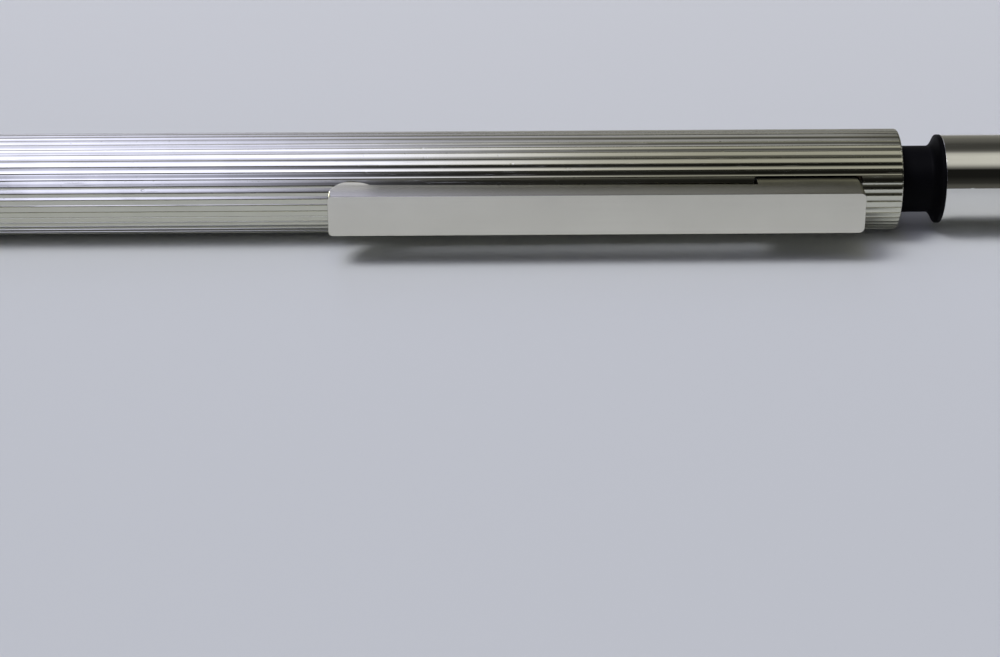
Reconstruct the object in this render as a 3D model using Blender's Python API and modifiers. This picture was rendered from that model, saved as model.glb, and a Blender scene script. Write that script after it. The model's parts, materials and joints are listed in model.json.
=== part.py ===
"""A retractable ballpoint pen with a fluted metal barrel, a hinged clip and a push button.

Sizes are in metres. The pen is drawn upright on its own axis, nose at z = 0 and button on top,
and an empty then lays it down along +X with the clip towards -Y.
"""

import math

import bmesh
import bpy
from mathutils import Matrix

MM = 0.001

# Fits between neighbouring pieces
SLIDE_FIT = 0.10 * MM
SEAT_GAP = 0.05 * MM
END_GAP = 0.30 * MM

# Barrel
BARREL_DIAMETER = 9.0 * MM
BARREL_BORE = 8.16 * MM
BARREL_CHAMFER = 0.12 * MM
FLUTE_COUNT = 48
FLUTE_HOLLOW = 0.05 * MM
GROOVE_SHARE = 0.17
GROOVE_DEPTH = 0.07 * MM

# Nose
NOSE_LENGTH = 27.0 * MM
NOSE_TIP_DIAMETER = 3.1 * MM
NOSE_FULLNESS = 1.8
NOSE_TIP_LAND = 4.0 * MM
NOSE_THROAT_LENGTH = 4.5 * MM
NOSE_SPRING_BORE_LENGTH = 3.5 * MM
SPIGOT_DIAMETER = 7.1 * MM
SPIGOT_LENGTH = 8.0 * MM
NOSE_BUSH_EXTRA = 0.4 * MM

# Refill
REFILL_LENGTH = 98.0 * MM
REFILL_DIAMETER = 5.9 * MM
REFILL_WALL = 0.3 * MM
TIP_RECESS = 1.2 * MM
BALL_DIAMETER = 1.0 * MM
BALL_FIT = 0.05 * MM
BALL_SHOWING = 0.3 * MM
POINT_DIAMETER = 2.3 * MM
POINT_LENGTH = 10.0 * MM
POINT_CONE_LENGTH = 2.6 * MM
POINT_LIP = 0.1 * MM
INK_DUCT_DIAMETER = 0.6 * MM
INK_DUCT_MOUTH_DIAMETER = 1.4 * MM
INK_DUCT_MOUTH_LENGTH = 2.0 * MM
NOSE_TUBE_WALL = 0.35 * MM
NOSE_TUBE_GRIP = 1.5 * MM
NOSE_TUBE_LENGTH = 9.5 * MM
SHOULDER_FROM_TIP = 16.0 * MM
SHOULDER_THICKNESS = 1.2 * MM
SHOULDER_CHAMFER = 0.35 * MM
PLUG_HEAD_LENGTH = 4.0 * MM
PLUG_HEAD_DIAMETER = 5.2 * MM
PLUG_SPIGOT_LENGTH = 2.0 * MM
PLUG_VENT_DIAMETER = 0.8 * MM
PLUG_TEETH = 12
PLUG_TOOTH_HEIGHT = 0.35 * MM
INK_LENGTH = 62.0 * MM

# Return spring
SPRING_WIRE = 0.36 * MM
SPRING_DIAMETER = 4.12 * MM
SPRING_TURNS = 8
SPRING_BORE_ROOM = 0.26 * MM

# Knock mechanism
PRESS_TRAVEL = 5.0 * MM
SLEEVE_OVER_REFILL = 4.6 * MM
SLEEVE_LENGTH = 16.6 * MM
SLEEVE_DIAMETER = 8.0 * MM
SLEEVE_FLANGE = 2.5 * MM
SLOT_DIAMETER = 6.6 * MM
RIB_BORE = 4.7 * MM
FIN_COUNT = 4
FIN_ANGLE = math.radians(40)
FIN_SIDE_ANGLE = math.radians(3)
FIN_SIDE_GAP = 0.15 * MM
ROTOR_FIN_LENGTH = 3.8 * MM
ROTOR_CORE_DIAMETER = 4.4 * MM
ROTOR_NECK_DIAMETER = 4.0 * MM
ROTOR_TAIL_DIAMETER = 2.4 * MM
ROTOR_TAIL_LENGTH = 3.2 * MM
CAM_TEETH = 8
CAM_TOOTH_HEIGHT = 0.7 * MM
CAM_LEAD_ANGLE = math.radians(7.5)
CAM_GAP = 0.6 * MM
STEM_DIAMETER = 3.8 * MM
STEM_IN_FINS = 0.6 * MM
STEM_IN_BUTTON = 4.15 * MM
STEM_ROOM = 0.2 * MM

# Rear bush and mouth
MOUTH_DEPTH = 2.3 * MM
BUSH_LENGTH = 11.2 * MM
BUSH_GUIDE_LENGTH = 7.1 * MM

# Button
NECK_DIAMETER = 5.94 * MM
NECK_LENGTH = 3.06 * MM
NECK_IN_BUSH = 1.9 * MM
FLARE_LENGTH = 0.8 * MM
RIM_LENGTH = 0.36 * MM
BUTTON_DIAMETER = 7.92 * MM
BUTTON_LENGTH = 8.3 * MM
BUTTON_WALL = 0.5 * MM
BUTTON_EDGE_RADIUS = 0.9 * MM

# Clip
CLIP_LENGTH = 46.7 * MM
CLIP_WIDTH = 3.75 * MM
CLIP_SHEET = 0.45 * MM
CLIP_FACE_FROM_AXIS = 7.7 * MM
CLIP_FROM_BARREL_END = 3.8 * MM
CLIP_FOLD_RADIUS = 0.12 * MM
CLIP_CORNER_RADIUS = 0.55 * MM
CLIP_FLANGE_AT_TIP = 2.5 * MM
CLIP_FLANGE_AT_ROOT = 2.15 * MM
CLIP_LOBE_LENGTH = 3.6 * MM
CLIP_LOBE_GAP = 0.15 * MM
CLIP_LOBE_FULLNESS = 0.7
CLIP_ROOT_LENGTH = 9.2 * MM
CLIP_TAIL_IN_SLOT = 0.25 * MM
CLIP_SLOT_SIDE_GAP = 0.125 * MM
CLIP_SLOT_END_GAP = 0.2 * MM
HINGE_FROM_BARREL_END = 10.5 * MM
HINGE_FROM_AXIS = 2.6 * MM
HINGE_PIN_DIAMETER = 0.8 * MM
HINGE_PIN_LENGTH = 5.2 * MM
HINGE_BOSS_RADIUS = 0.75 * MM
CLIP_SPRING_FROM_BARREL_END = 6.3 * MM
CLIP_SPRING_SEAT = 3.3 * MM
CLIP_SPRING_WIRE = 0.22 * MM
CLIP_SPRING_DIAMETER = 1.7 * MM
CLIP_SPRING_TURNS = 5

# How the pen lies: flutes between the one under the clip and the groove that stands on the table
FLUTES_BELOW_CLIP = 12.5

# Facets
FINE_STEPS = 48
PLAIN_STEPS = 40
PIN_STEPS = 20
SPRING_POINTS = 9
NOSE_STEPS = 14
CURVE_STEPS = 8
LOBE_STEPS = 10
EDGE_STEPS = 6
BALL_RINGS = 12

# Places along the pen, from the nose's front face
REFILL_FRONT = TIP_RECESS
REFILL_END = REFILL_FRONT + REFILL_LENGTH
SHOULDER = REFILL_FRONT + SHOULDER_FROM_TIP
SPRING_SEAT = NOSE_TIP_LAND + NOSE_THROAT_LENGTH
REFILL_BORE_START = SPRING_SEAT + NOSE_SPRING_BORE_LENGTH
BARREL_FRONT = NOSE_LENGTH + SLIDE_FIT
SLEEVE_FRONT = REFILL_END - SLEEVE_OVER_REFILL
SLEEVE_REAR = SLEEVE_FRONT + SLEEVE_LENGTH
SLEEVE_FLANGE_FRONT = SLEEVE_REAR - SLEEVE_FLANGE
RIB_FRONT = SLEEVE_FRONT + PRESS_TRAVEL
ROTOR_FRONT = REFILL_END + END_GAP
ROTOR_FIN_REAR = RIB_FRONT + PRESS_TRAVEL - END_GAP
ROTOR_FIN_FRONT = ROTOR_FIN_REAR - ROTOR_FIN_LENGTH
PLUNGER_FRONT = ROTOR_FIN_REAR + CAM_GAP
PLUNGER_FIN_REAR = SLEEVE_FLANGE_FRONT - END_GAP
BUSH_FRONT = SLEEVE_REAR + END_GAP
BUSH_REAR = BUSH_FRONT + BUSH_LENGTH
BARREL_REAR = BUSH_REAR + MOUTH_DEPTH
NECK_FRONT = BUSH_REAR - NECK_IN_BUSH
FLARE_FRONT = BARREL_REAR + NECK_LENGTH
FLARE_REAR = FLARE_FRONT + FLARE_LENGTH
RIM_REAR = FLARE_REAR + RIM_LENGTH
BUTTON_FRONT = RIM_REAR + SEAT_GAP
BUTTON_REAR = BUTTON_FRONT + BUTTON_LENGTH
HINGE_HEIGHT = BARREL_REAR - HINGE_FROM_BARREL_END
CLIP_REAR = BARREL_REAR - CLIP_FROM_BARREL_END
CLIP_TIP = CLIP_REAR - CLIP_LENGTH
CLIP_ROOT_FRONT = CLIP_REAR - CLIP_ROOT_LENGTH
SLOT_REAR = CLIP_REAR + CLIP_SLOT_END_GAP
SLOT_FRONT = CLIP_ROOT_FRONT - CLIP_SLOT_END_GAP

# Radii that several pieces share
BARREL_RADIUS = BARREL_DIAMETER / 2
BORE_RADIUS = BARREL_BORE / 2
REFILL_RADIUS = REFILL_DIAMETER / 2
POINT_RADIUS = POINT_DIAMETER / 2
NOSE_TUBE_BORE_RADIUS = POINT_RADIUS + SLIDE_FIT
NOSE_TUBE_RADIUS = NOSE_TUBE_BORE_RADIUS + NOSE_TUBE_WALL
INK_RADIUS = REFILL_RADIUS - REFILL_WALL
SPRING_RADIUS = SPRING_DIAMETER / 2
PRESSED_RADIUS = BORE_RADIUS - SEAT_GAP
FIN_RADIUS = SLOT_DIAMETER / 2 - FIN_SIDE_GAP
TAIL_RADIUS = ROTOR_TAIL_DIAMETER / 2
STEM_RADIUS = STEM_DIAMETER / 2
NECK_RADIUS = NECK_DIAMETER / 2
BUTTON_RADIUS = BUTTON_DIAMETER / 2
PIN_RADIUS = HINGE_PIN_DIAMETER / 2
PIN_HOLE_RADIUS = PIN_RADIUS + SEAT_GAP
CLIP_HALF = CLIP_WIDTH / 2
SLOT_HALF = CLIP_HALF + CLIP_SLOT_SIDE_GAP
CLIP_UNDERSIDE = CLIP_FACE_FROM_AXIS - CLIP_SHEET
PAST = 2.0 * MM


def clear_scene():
    for old in list(bpy.data.objects):
        bpy.data.objects.remove(old, do_unlink=True)
    bpy.context.scene.unit_settings.scale_length = 1.0


def new_collection(name):
    made = bpy.data.collections.new(name)
    bpy.context.scene.collection.children.link(made)
    return made


def finish(name, colour, roughness, metallic):
    made = bpy.data.materials.new(name)
    made.use_nodes = True
    shader = made.node_tree.nodes["Principled BSDF"]
    shader.inputs["Base Color"].default_value = (*colour, 1.0)
    shader.inputs["Roughness"].default_value = roughness
    shader.inputs["Metallic"].default_value = metallic
    made.diffuse_color = (*colour, 1.0)
    return made


def empty(name, parent=None, place=(0, 0, 0)):
    made = bpy.data.objects.new(name, None)
    made.empty_display_size = 4 * MM
    parts.objects.link(made)
    made.parent = parent
    made.location = place
    return made


def place(name, mesh, material, parent):
    """A named part that hangs on its empty, with the empty's own origin taken out of its mesh."""
    made = bpy.data.objects.new(name, mesh)
    mesh.materials.append(material)
    parts.objects.link(made)
    made.parent = parent
    if parent is not pen:
        mesh.transform(Matrix.Translation(-parent.location))
    smooth(mesh)
    return made


def cutter(name, mesh, parent):
    made = bpy.data.objects.new(name, mesh)
    cutters.objects.link(made)
    made.parent = parent
    if parent is not pen:
        mesh.transform(Matrix.Translation(-parent.location))
    made.hide_render = True
    made.display_type = "WIRE"
    return made


def smooth(mesh, limit=math.radians(35)):
    if mesh.polygons:
        mesh.shade_smooth()
        mesh.set_sharp_from_angle(angle=limit)


def combine(target, other, operation):
    step = target.modifiers.new(f"{operation.lower()} {other.name}", "BOOLEAN")
    step.operation = operation
    step.object = other


def cut(target, name, mesh):
    combine(target, cutter(f"{name}_cutter", mesh, target.parent), "DIFFERENCE")


def join(target, name, mesh):
    combine(target, cutter(f"{name}_addition", mesh, target.parent), "UNION")


def mesh_from(shape, name):
    mesh = bpy.data.meshes.new(name)
    shape.to_mesh(mesh)
    shape.free()
    return mesh


def profile_mesh(name, points, closed):
    """A chain of edges in the XZ plane, for the Screw modifier to turn."""
    shape = bmesh.new()
    chain = [shape.verts.new((radius, 0, height)) for radius, height in points]
    for first, second in zip(chain, chain[1:]):
        shape.edges.new((first, second))
    if closed:
        shape.edges.new((chain[-1], chain[0]))
    return mesh_from(shape, name)


def turned(name, points, material, parent, steps=FINE_STEPS, closed=True):
    """A turned part. Its profile runs down the outer side, then up the bore."""
    made = place(name, profile_mesh(name, points, closed), material, parent)
    turn(made, steps)
    return made


def turn(profile, steps):
    screw = profile.modifiers.new("turn", "SCREW")
    screw.axis = "Z"
    screw.angle = math.tau
    screw.steps = steps
    screw.render_steps = steps
    screw.use_merge_vertices = True
    screw.merge_threshold = 0.001 * MM
    screw.use_smooth_shade = True


def rod(name, radius, low, high, steps=PLAIN_STEPS):
    shape = bmesh.new()
    bmesh.ops.create_cone(
        shape, cap_ends=True, segments=steps, radius1=radius, radius2=radius, depth=high - low
    )
    bmesh.ops.translate(shape, verts=shape.verts, vec=(0, 0, (low + high) / 2))
    return mesh_from(shape, name)


def cross_rod(name, radius, length, across, along, steps=PIN_STEPS):
    """A rod across the pen, parallel to the clip's width."""
    mesh = rod(name, radius, -length / 2, length / 2, steps)
    mesh.transform(Matrix.Rotation(math.radians(90), 4, "X"))
    mesh.transform(Matrix.Translation((across, 0, along)))
    return mesh


def block(name, low, high):
    shape = bmesh.new()
    size = [top - bottom for bottom, top in zip(low, high)]
    middle = [(top + bottom) / 2 for bottom, top in zip(low, high)]
    fitted = Matrix.Translation(middle) @ Matrix.Diagonal((*size, 1))
    bmesh.ops.create_cube(shape, size=1, matrix=fitted)
    return mesh_from(shape, name)


def outlined(name, outlines, low, high):
    """Flat closed outlines in XY, the later ones holes in the first, raised from low to high."""
    curve = bpy.data.curves.new(name, "CURVE")
    curve.dimensions = "2D"
    curve.fill_mode = "BOTH"
    curve.extrude = (high - low) / 2
    for outline in outlines:
        spline = curve.splines.new("POLY")
        spline.points.add(len(outline) - 1)
        for point, (x, y) in zip(spline.points, outline):
            point.co = (x, y, 0, 1)
        spline.use_cyclic_u = True
    guide = bpy.data.objects.new(name, curve)
    bpy.context.scene.collection.objects.link(guide)
    graph = bpy.context.evaluated_depsgraph_get()
    mesh = bpy.data.meshes.new_from_object(guide.evaluated_get(graph))
    bpy.data.objects.remove(guide, do_unlink=True)
    bpy.data.curves.remove(curve)
    shape = bmesh.new()
    shape.from_mesh(mesh)
    bpy.data.meshes.remove(mesh)
    bmesh.ops.remove_doubles(shape, verts=shape.verts, dist=0.0005 * MM)
    bmesh.ops.recalc_face_normals(shape, faces=shape.faces)
    bmesh.ops.translate(shape, verts=shape.verts, vec=(0, 0, (low + high) / 2))
    return mesh_from(shape, name)


def arc(radius, start, end, steps):
    """Points on a circle round the axis, both ends included."""
    turn = [start + (end - start) * step / steps for step in range(steps + 1)]
    return [(radius * math.cos(angle), radius * math.sin(angle)) for angle in turn]


def circle(radius, steps=FINE_STEPS):
    return arc(radius, 0, math.tau, steps)[:-1]


def fluted_circle():
    """The barrel's outline: hollow flutes with a sharp groove after each, one flute under the clip."""
    half = (1 - GROOVE_SHARE) / 2
    outline = [(-half, BARREL_RADIUS), (0, BARREL_RADIUS - FLUTE_HOLLOW), (half, BARREL_RADIUS)]
    outline.append((0.5, BARREL_RADIUS - GROOVE_DEPTH))
    points = []
    for flute in range(FLUTE_COUNT):
        for across, radius in outline:
            angle = (flute + across) * math.tau / FLUTE_COUNT
            points.append((radius * math.cos(angle), radius * math.sin(angle)))
    return points


def finned_circle(core_radius, fin_radius, fin_angle, steps=EDGE_STEPS):
    """A round core with evenly spaced fins, or a round hole with evenly spaced slots."""
    points = []
    pitch = math.tau / FIN_COUNT
    for fin in range(FIN_COUNT):
        middle = fin * pitch
        points += arc(fin_radius, middle - fin_angle / 2, middle + fin_angle / 2, steps)
        points += arc(core_radius, middle + fin_angle / 2, middle + pitch - fin_angle / 2, steps)
    return points


def toothed_rod(name, radius, face, back, teeth, height, lead=0.0, steps_per_tooth=EDGE_STEPS):
    """A rod whose face end is a ring of radial teeth, for cutting crown teeth."""
    shape = bmesh.new()
    bmesh.ops.create_cone(
        shape,
        cap_ends=True,
        cap_tris=True,
        segments=teeth * steps_per_tooth,
        radius1=radius,
        radius2=radius,
        depth=abs(back - face),
    )
    bmesh.ops.translate(shape, verts=shape.verts, vec=(0, 0, (face + back) / 2))
    for vertex in shape.verts:
        on_face = abs(vertex.co.z - face) < abs(vertex.co.z - back)
        if not on_face or vertex.co.xy.length < radius / 2:
            continue
        turn = (math.atan2(vertex.co.y, vertex.co.x) - lead) / math.tau * teeth
        share = turn - math.floor(turn)
        vertex.co.z += height * (0.5 - abs(2 * share - 1))
    return mesh_from(shape, name)


def least_gap(points, wire, points_per_turn):
    """The smallest clear distance between two turns of a coil, measured on its points."""
    apart = points_per_turn // 2 + 1
    nearest = min(
        math.dist(first, second)
        for index, first in enumerate(points)
        for second in points[index + apart :]
    )
    return nearest - wire


def coil(name, low, high, radius, wire, turns, material, parent, turn_to=None):
    """A compression spring of round wire along Z, as one unbroken tube."""
    count = turns * SPRING_POINTS
    bottom = low + wire / 2
    rise = high - low - wire
    points = []
    for index in range(count + 1):
        angle = index / SPRING_POINTS * math.tau
        points.append((radius * math.cos(angle), radius * math.sin(angle), bottom + rise * index / count))
    print(f"{name}: least gap between turns {least_gap(points, wire, SPRING_POINTS) / MM:.2f} mm")
    curve = bpy.data.curves.new(name, "CURVE")
    curve.dimensions = "3D"
    curve.bevel_depth = wire / 2
    curve.bevel_resolution = 1
    curve.use_fill_caps = True
    spline = curve.splines.new("POLY")
    spline.points.add(count)
    for point, place_in_coil in zip(spline.points, points):
        point.co = (*place_in_coil, 1)
    curve.materials.append(material)
    made = bpy.data.objects.new(name, curve)
    parts.objects.link(made)
    made.parent = parent
    if turn_to is not None:
        made.matrix_local = turn_to
    return made


def nose_radius(share):
    """The nose swells from its tip to the bottom of the barrel's grooves in one smooth curve."""
    tip = NOSE_TIP_DIAMETER / 2
    full = BARREL_RADIUS - GROOVE_DEPTH
    return full - (full - tip) * (1 - share) ** NOSE_FULLNESS


def make_barrel():
    barrel = place(
        "barrel",
        outlined("barrel", [fluted_circle(), circle(BORE_RADIUS)], BARREL_FRONT, BARREL_REAR),
        silver,
        pen,
    )
    cut(
        barrel,
        "clip_slot",
        block("clip_slot", (0, -SLOT_HALF, SLOT_FRONT), (BARREL_RADIUS + PAST, SLOT_HALF, SLOT_REAR)),
    )
    outside = BARREL_RADIUS + PAST
    run_out = BARREL_CHAMFER + PAST
    bounds = [(0, BARREL_REAR + PAST), (BARREL_RADIUS - run_out, BARREL_REAR + PAST)]
    bounds += [(outside, BARREL_REAR - run_out), (outside, BARREL_FRONT + run_out)]
    bounds += [(BARREL_RADIUS - run_out, BARREL_FRONT - PAST), (0, BARREL_FRONT - PAST)]
    ends = cutter("chamfered_ends", profile_mesh("chamfered_ends", bounds, closed=False), pen)
    turn(ends, FLUTE_COUNT)
    combine(barrel, ends, "INTERSECT")


def make_nose():
    shares = [step / NOSE_STEPS for step in range(NOSE_STEPS, -1, -1)]
    outer = [(nose_radius(share), NOSE_LENGTH * share) for share in shares]
    spigot_end = NOSE_LENGTH + SPIGOT_LENGTH
    refill_bore = REFILL_RADIUS + SLIDE_FIT
    spring_bore = SPRING_RADIUS + SPRING_WIRE / 2 + SPRING_BORE_ROOM
    throat = NOSE_TUBE_RADIUS + SLIDE_FIT
    tip_bore = POINT_RADIUS + SLIDE_FIT
    spigot = SPIGOT_DIAMETER / 2
    points = [(spigot, spigot_end), (spigot, NOSE_LENGTH), *outer]
    points += [(tip_bore, 0), (tip_bore, NOSE_TIP_LAND), (throat, NOSE_TIP_LAND)]
    points += [(throat, SPRING_SEAT), (spring_bore, SPRING_SEAT)]
    points += [(spring_bore, REFILL_BORE_START), (refill_bore, REFILL_BORE_START)]
    points += [(refill_bore, spigot_end)]
    turned("nose_cone", points, silver_smooth, pen)

    bush_bore = spigot + SLIDE_FIT
    low = BARREL_FRONT + END_GAP
    high = spigot_end + NOSE_BUSH_EXTRA
    ring = [(PRESSED_RADIUS, high), (PRESSED_RADIUS, low), (bush_bore, low), (bush_bore, high)]
    turned("nose_bush", ring, brass, pen, PLAIN_STEPS)


def make_refill():
    front = REFILL_FRONT
    ball_radius = BALL_DIAMETER / 2
    ball_centre = front + ball_radius
    ball = bmesh.new()
    bmesh.ops.create_uvsphere(ball, u_segments=PIN_STEPS, v_segments=BALL_RINGS, radius=ball_radius)
    bmesh.ops.translate(ball, verts=ball.verts, vec=(0, 0, ball_centre))
    place("writing_ball", mesh_from(ball, "writing_ball"), carbide, refill)

    socket = ball_radius + BALL_FIT
    lip = front + BALL_SHOWING
    duct = INK_DUCT_DIAMETER / 2
    first = math.asin((lip - ball_centre) / socket)
    last = math.acos(duct / socket)
    seat = []
    for step in range(CURVE_STEPS + 1):
        angle = first + (last - first) * step / CURVE_STEPS
        seat.append((socket * math.cos(angle), ball_centre + socket * math.sin(angle)))
    lip_radius = seat[0][0] + POINT_LIP
    point_end = front + POINT_LENGTH
    mouth = INK_DUCT_MOUTH_DIAMETER / 2
    mouth_front = point_end - INK_DUCT_MOUTH_LENGTH
    points = [(POINT_RADIUS, point_end), (POINT_RADIUS, lip + POINT_CONE_LENGTH), (lip_radius, lip)]
    points += [*seat, (duct, mouth_front), (mouth, mouth_front), (mouth, point_end)]
    turned("refill_point", points, nickel, refill, PLAIN_STEPS)

    tube_front = point_end - NOSE_TUBE_GRIP
    tube_rear = tube_front + NOSE_TUBE_LENGTH
    points = [(NOSE_TUBE_RADIUS, tube_rear), (NOSE_TUBE_RADIUS, tube_front)]
    points += [(NOSE_TUBE_BORE_RADIUS, tube_front), (NOSE_TUBE_BORE_RADIUS, tube_rear)]
    turned("refill_nose_tube", points, brass, refill, PLAIN_STEPS)

    body_rear = REFILL_END - PLUG_HEAD_LENGTH - SEAT_GAP
    collar = NOSE_TUBE_RADIUS + SEAT_GAP
    inside = SHOULDER + SHOULDER_THICKNESS
    points = [(REFILL_RADIUS, body_rear), (REFILL_RADIUS, SHOULDER + SHOULDER_CHAMFER)]
    points += [(REFILL_RADIUS - SHOULDER_CHAMFER, SHOULDER), (collar, SHOULDER), (collar, inside)]
    points += [(INK_RADIUS, inside), (INK_RADIUS, body_rear)]
    turned("refill_tube", points, steel, refill, PLAIN_STEPS)

    ink_front = max(inside, tube_rear) + SLIDE_FIT
    column = INK_RADIUS - SEAT_GAP
    points = [(0, ink_front + INK_LENGTH), (column, ink_front + INK_LENGTH)]
    points += [(column, ink_front), (0, ink_front)]
    turned("ink_column", points, ink, refill, PLAIN_STEPS, closed=False)

    head = PLUG_HEAD_DIAMETER / 2
    head_front = body_rear + SEAT_GAP
    spigot = INK_RADIUS - SEAT_GAP
    flange = REFILL_RADIUS
    flange_rear = head_front + REFILL_WALL
    spigot_front = head_front - PLUG_SPIGOT_LENGTH
    vent = PLUG_VENT_DIAMETER / 2
    points = [(head, REFILL_END + PLUG_TOOTH_HEIGHT), (head, flange_rear), (flange, flange_rear)]
    points += [(flange, head_front), (spigot, head_front), (spigot, spigot_front)]
    points += [(vent, spigot_front), (vent, REFILL_END + PLUG_TOOTH_HEIGHT)]
    plug = turned("refill_plug", points, white_plastic, refill, PLAIN_STEPS)
    crest = REFILL_END - PLUG_TOOTH_HEIGHT / 2
    crown = toothed_rod(
        "plug_crown", REFILL_RADIUS + PAST, crest, REFILL_END + PAST, PLUG_TEETH, PLUG_TOOTH_HEIGHT
    )
    cut(plug, "plug_crown", crown)


def make_return_spring():
    low = SPRING_SEAT + SEAT_GAP
    high = SHOULDER - SEAT_GAP
    coil("return_spring", low, high, SPRING_RADIUS, SPRING_WIRE, SPRING_TURNS, steel, pen)


def make_cam_sleeve():
    sleeve = place(
        "cam_sleeve",
        rod("cam_sleeve", SLEEVE_DIAMETER / 2, SLEEVE_FRONT, SLEEVE_REAR, FINE_STEPS),
        grey_plastic,
        pen,
    )
    slots = finned_circle(RIB_BORE / 2, SLOT_DIAMETER / 2, FIN_ANGLE + 2 * FIN_SIDE_ANGLE)
    cut(
        sleeve,
        "sleeve_slots",
        outlined("sleeve_slots", [slots], SLEEVE_FRONT - PAST, SLEEVE_FLANGE_FRONT),
    )
    ramp = toothed_rod(
        "sleeve_ramps",
        SLOT_DIAMETER / 2 + SLIDE_FIT,
        RIB_FRONT,
        SLEEVE_FRONT - PAST,
        CAM_TEETH,
        CAM_TOOTH_HEIGHT,
    )
    cut(sleeve, "sleeve_ramps", ramp)
    stem_hole = rod("stem_hole", STEM_RADIUS + SLIDE_FIT, SLEEVE_FRONT, SLEEVE_REAR + PAST)
    cut(sleeve, "stem_hole", stem_hole)


def make_rotor():
    fins = finned_circle(ROTOR_CORE_DIAMETER / 2, FIN_RADIUS, FIN_ANGLE)
    made = place(
        "cam_rotor",
        outlined("cam_rotor", [fins], ROTOR_FIN_FRONT, ROTOR_FIN_REAR + CAM_TOOTH_HEIGHT),
        brass,
        rotor,
    )
    crown = toothed_rod(
        "rotor_crown",
        FIN_RADIUS + PAST,
        ROTOR_FIN_REAR,
        ROTOR_FIN_REAR + PAST,
        CAM_TEETH,
        CAM_TOOTH_HEIGHT,
    )
    cut(made, "rotor_crown", crown)
    overlap = ROTOR_FIN_LENGTH / 2
    neck = rod("rotor_neck", ROTOR_NECK_DIAMETER / 2, ROTOR_FRONT, ROTOR_FIN_FRONT + overlap)
    join(made, "rotor_neck", neck)
    tail = rod(
        "rotor_tail", TAIL_RADIUS, ROTOR_FIN_FRONT + overlap, ROTOR_FIN_REAR + ROTOR_TAIL_LENGTH
    )
    join(made, "rotor_tail", tail)


def make_plunger():
    fins = finned_circle(ROTOR_CORE_DIAMETER / 2, FIN_RADIUS, FIN_ANGLE)
    made = place(
        "plunger",
        outlined("plunger", [fins], PLUNGER_FRONT - CAM_TOOTH_HEIGHT, PLUNGER_FIN_REAR),
        white_plastic,
        button,
    )
    crown = toothed_rod(
        "plunger_crown",
        FIN_RADIUS + PAST,
        PLUNGER_FRONT,
        PLUNGER_FRONT - PAST,
        CAM_TEETH,
        CAM_TOOTH_HEIGHT,
        CAM_LEAD_ANGLE,
    )
    cut(made, "plunger_crown", crown)
    stem_end = RIM_REAR + STEM_IN_BUTTON
    socket_end = ROTOR_FIN_REAR + ROTOR_TAIL_LENGTH + END_GAP
    stem_start = PLUNGER_FIN_REAR - STEM_IN_FINS
    join(made, "plunger_stem", rod("plunger_stem", STEM_RADIUS, stem_start, stem_end))
    tail_hole = rod("tail_hole", TAIL_RADIUS + SLIDE_FIT, PLUNGER_FRONT - PAST, socket_end)
    cut(made, "tail_hole", tail_hole)


def make_button():
    stem_bore = STEM_RADIUS + SEAT_GAP
    cap_bore = BUTTON_RADIUS - BUTTON_WALL
    spigot = cap_bore - SEAT_GAP
    cavity_end = BUTTON_REAR - BUTTON_WALL
    spigot_end = cavity_end - END_GAP
    points = [(spigot, spigot_end), (spigot, RIM_REAR), (BUTTON_RADIUS, RIM_REAR)]
    points += [(BUTTON_RADIUS, FLARE_REAR), (NECK_RADIUS, FLARE_FRONT), (NECK_RADIUS, NECK_FRONT)]
    points += [(stem_bore, NECK_FRONT), (stem_bore, spigot_end)]
    turned("neck_collar", points, black_plastic, button)

    flat = BUTTON_RADIUS - BUTTON_EDGE_RADIUS
    edge = arc(BUTTON_EDGE_RADIUS, math.pi / 2, 0, EDGE_STEPS)
    points = [(0, BUTTON_REAR)]
    points += [(flat + x, BUTTON_REAR - BUTTON_EDGE_RADIUS + y) for x, y in edge]
    points += [(BUTTON_RADIUS, BUTTON_FRONT), (cap_bore, BUTTON_FRONT)]
    points += [(cap_bore, cavity_end), (0, cavity_end)]
    turned("push_button", points, chrome, button, closed=False)


def make_rear_bush():
    guide = NECK_RADIUS + SLIDE_FIT
    stem_bore = STEM_RADIUS + STEM_ROOM
    step = BUSH_REAR - BUSH_GUIDE_LENGTH
    points = [(PRESSED_RADIUS, BUSH_REAR), (PRESSED_RADIUS, BUSH_FRONT), (stem_bore, BUSH_FRONT)]
    points += [(stem_bore, step), (guide, step), (guide, BUSH_REAR)]
    bush = turned("rear_bush", points, brass, pen)
    far = BARREL_RADIUS + PAST
    seat = block("spring_floor", (CLIP_SPRING_SEAT, -SLOT_HALF, step), (far, SLOT_HALF, SLOT_REAR))
    cut(bush, "spring_floor", seat)
    floor = HINGE_FROM_AXIS - HINGE_BOSS_RADIUS - END_GAP
    pocket = block("hinge_pocket", (floor, -SLOT_HALF, SLOT_FRONT), (far, SLOT_HALF, step))
    cut(bush, "hinge_pocket", pocket)
    hole = cross_rod("pin_hole", PIN_HOLE_RADIUS, BARREL_BORE, HINGE_FROM_AXIS, HINGE_HEIGHT)
    cut(bush, "pin_hole", hole)
    pin = cross_rod("clip_hinge_pin", PIN_RADIUS, HINGE_PIN_LENGTH, HINGE_FROM_AXIS, HINGE_HEIGHT)
    place("clip_hinge_pin", pin, steel, pen)


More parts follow.
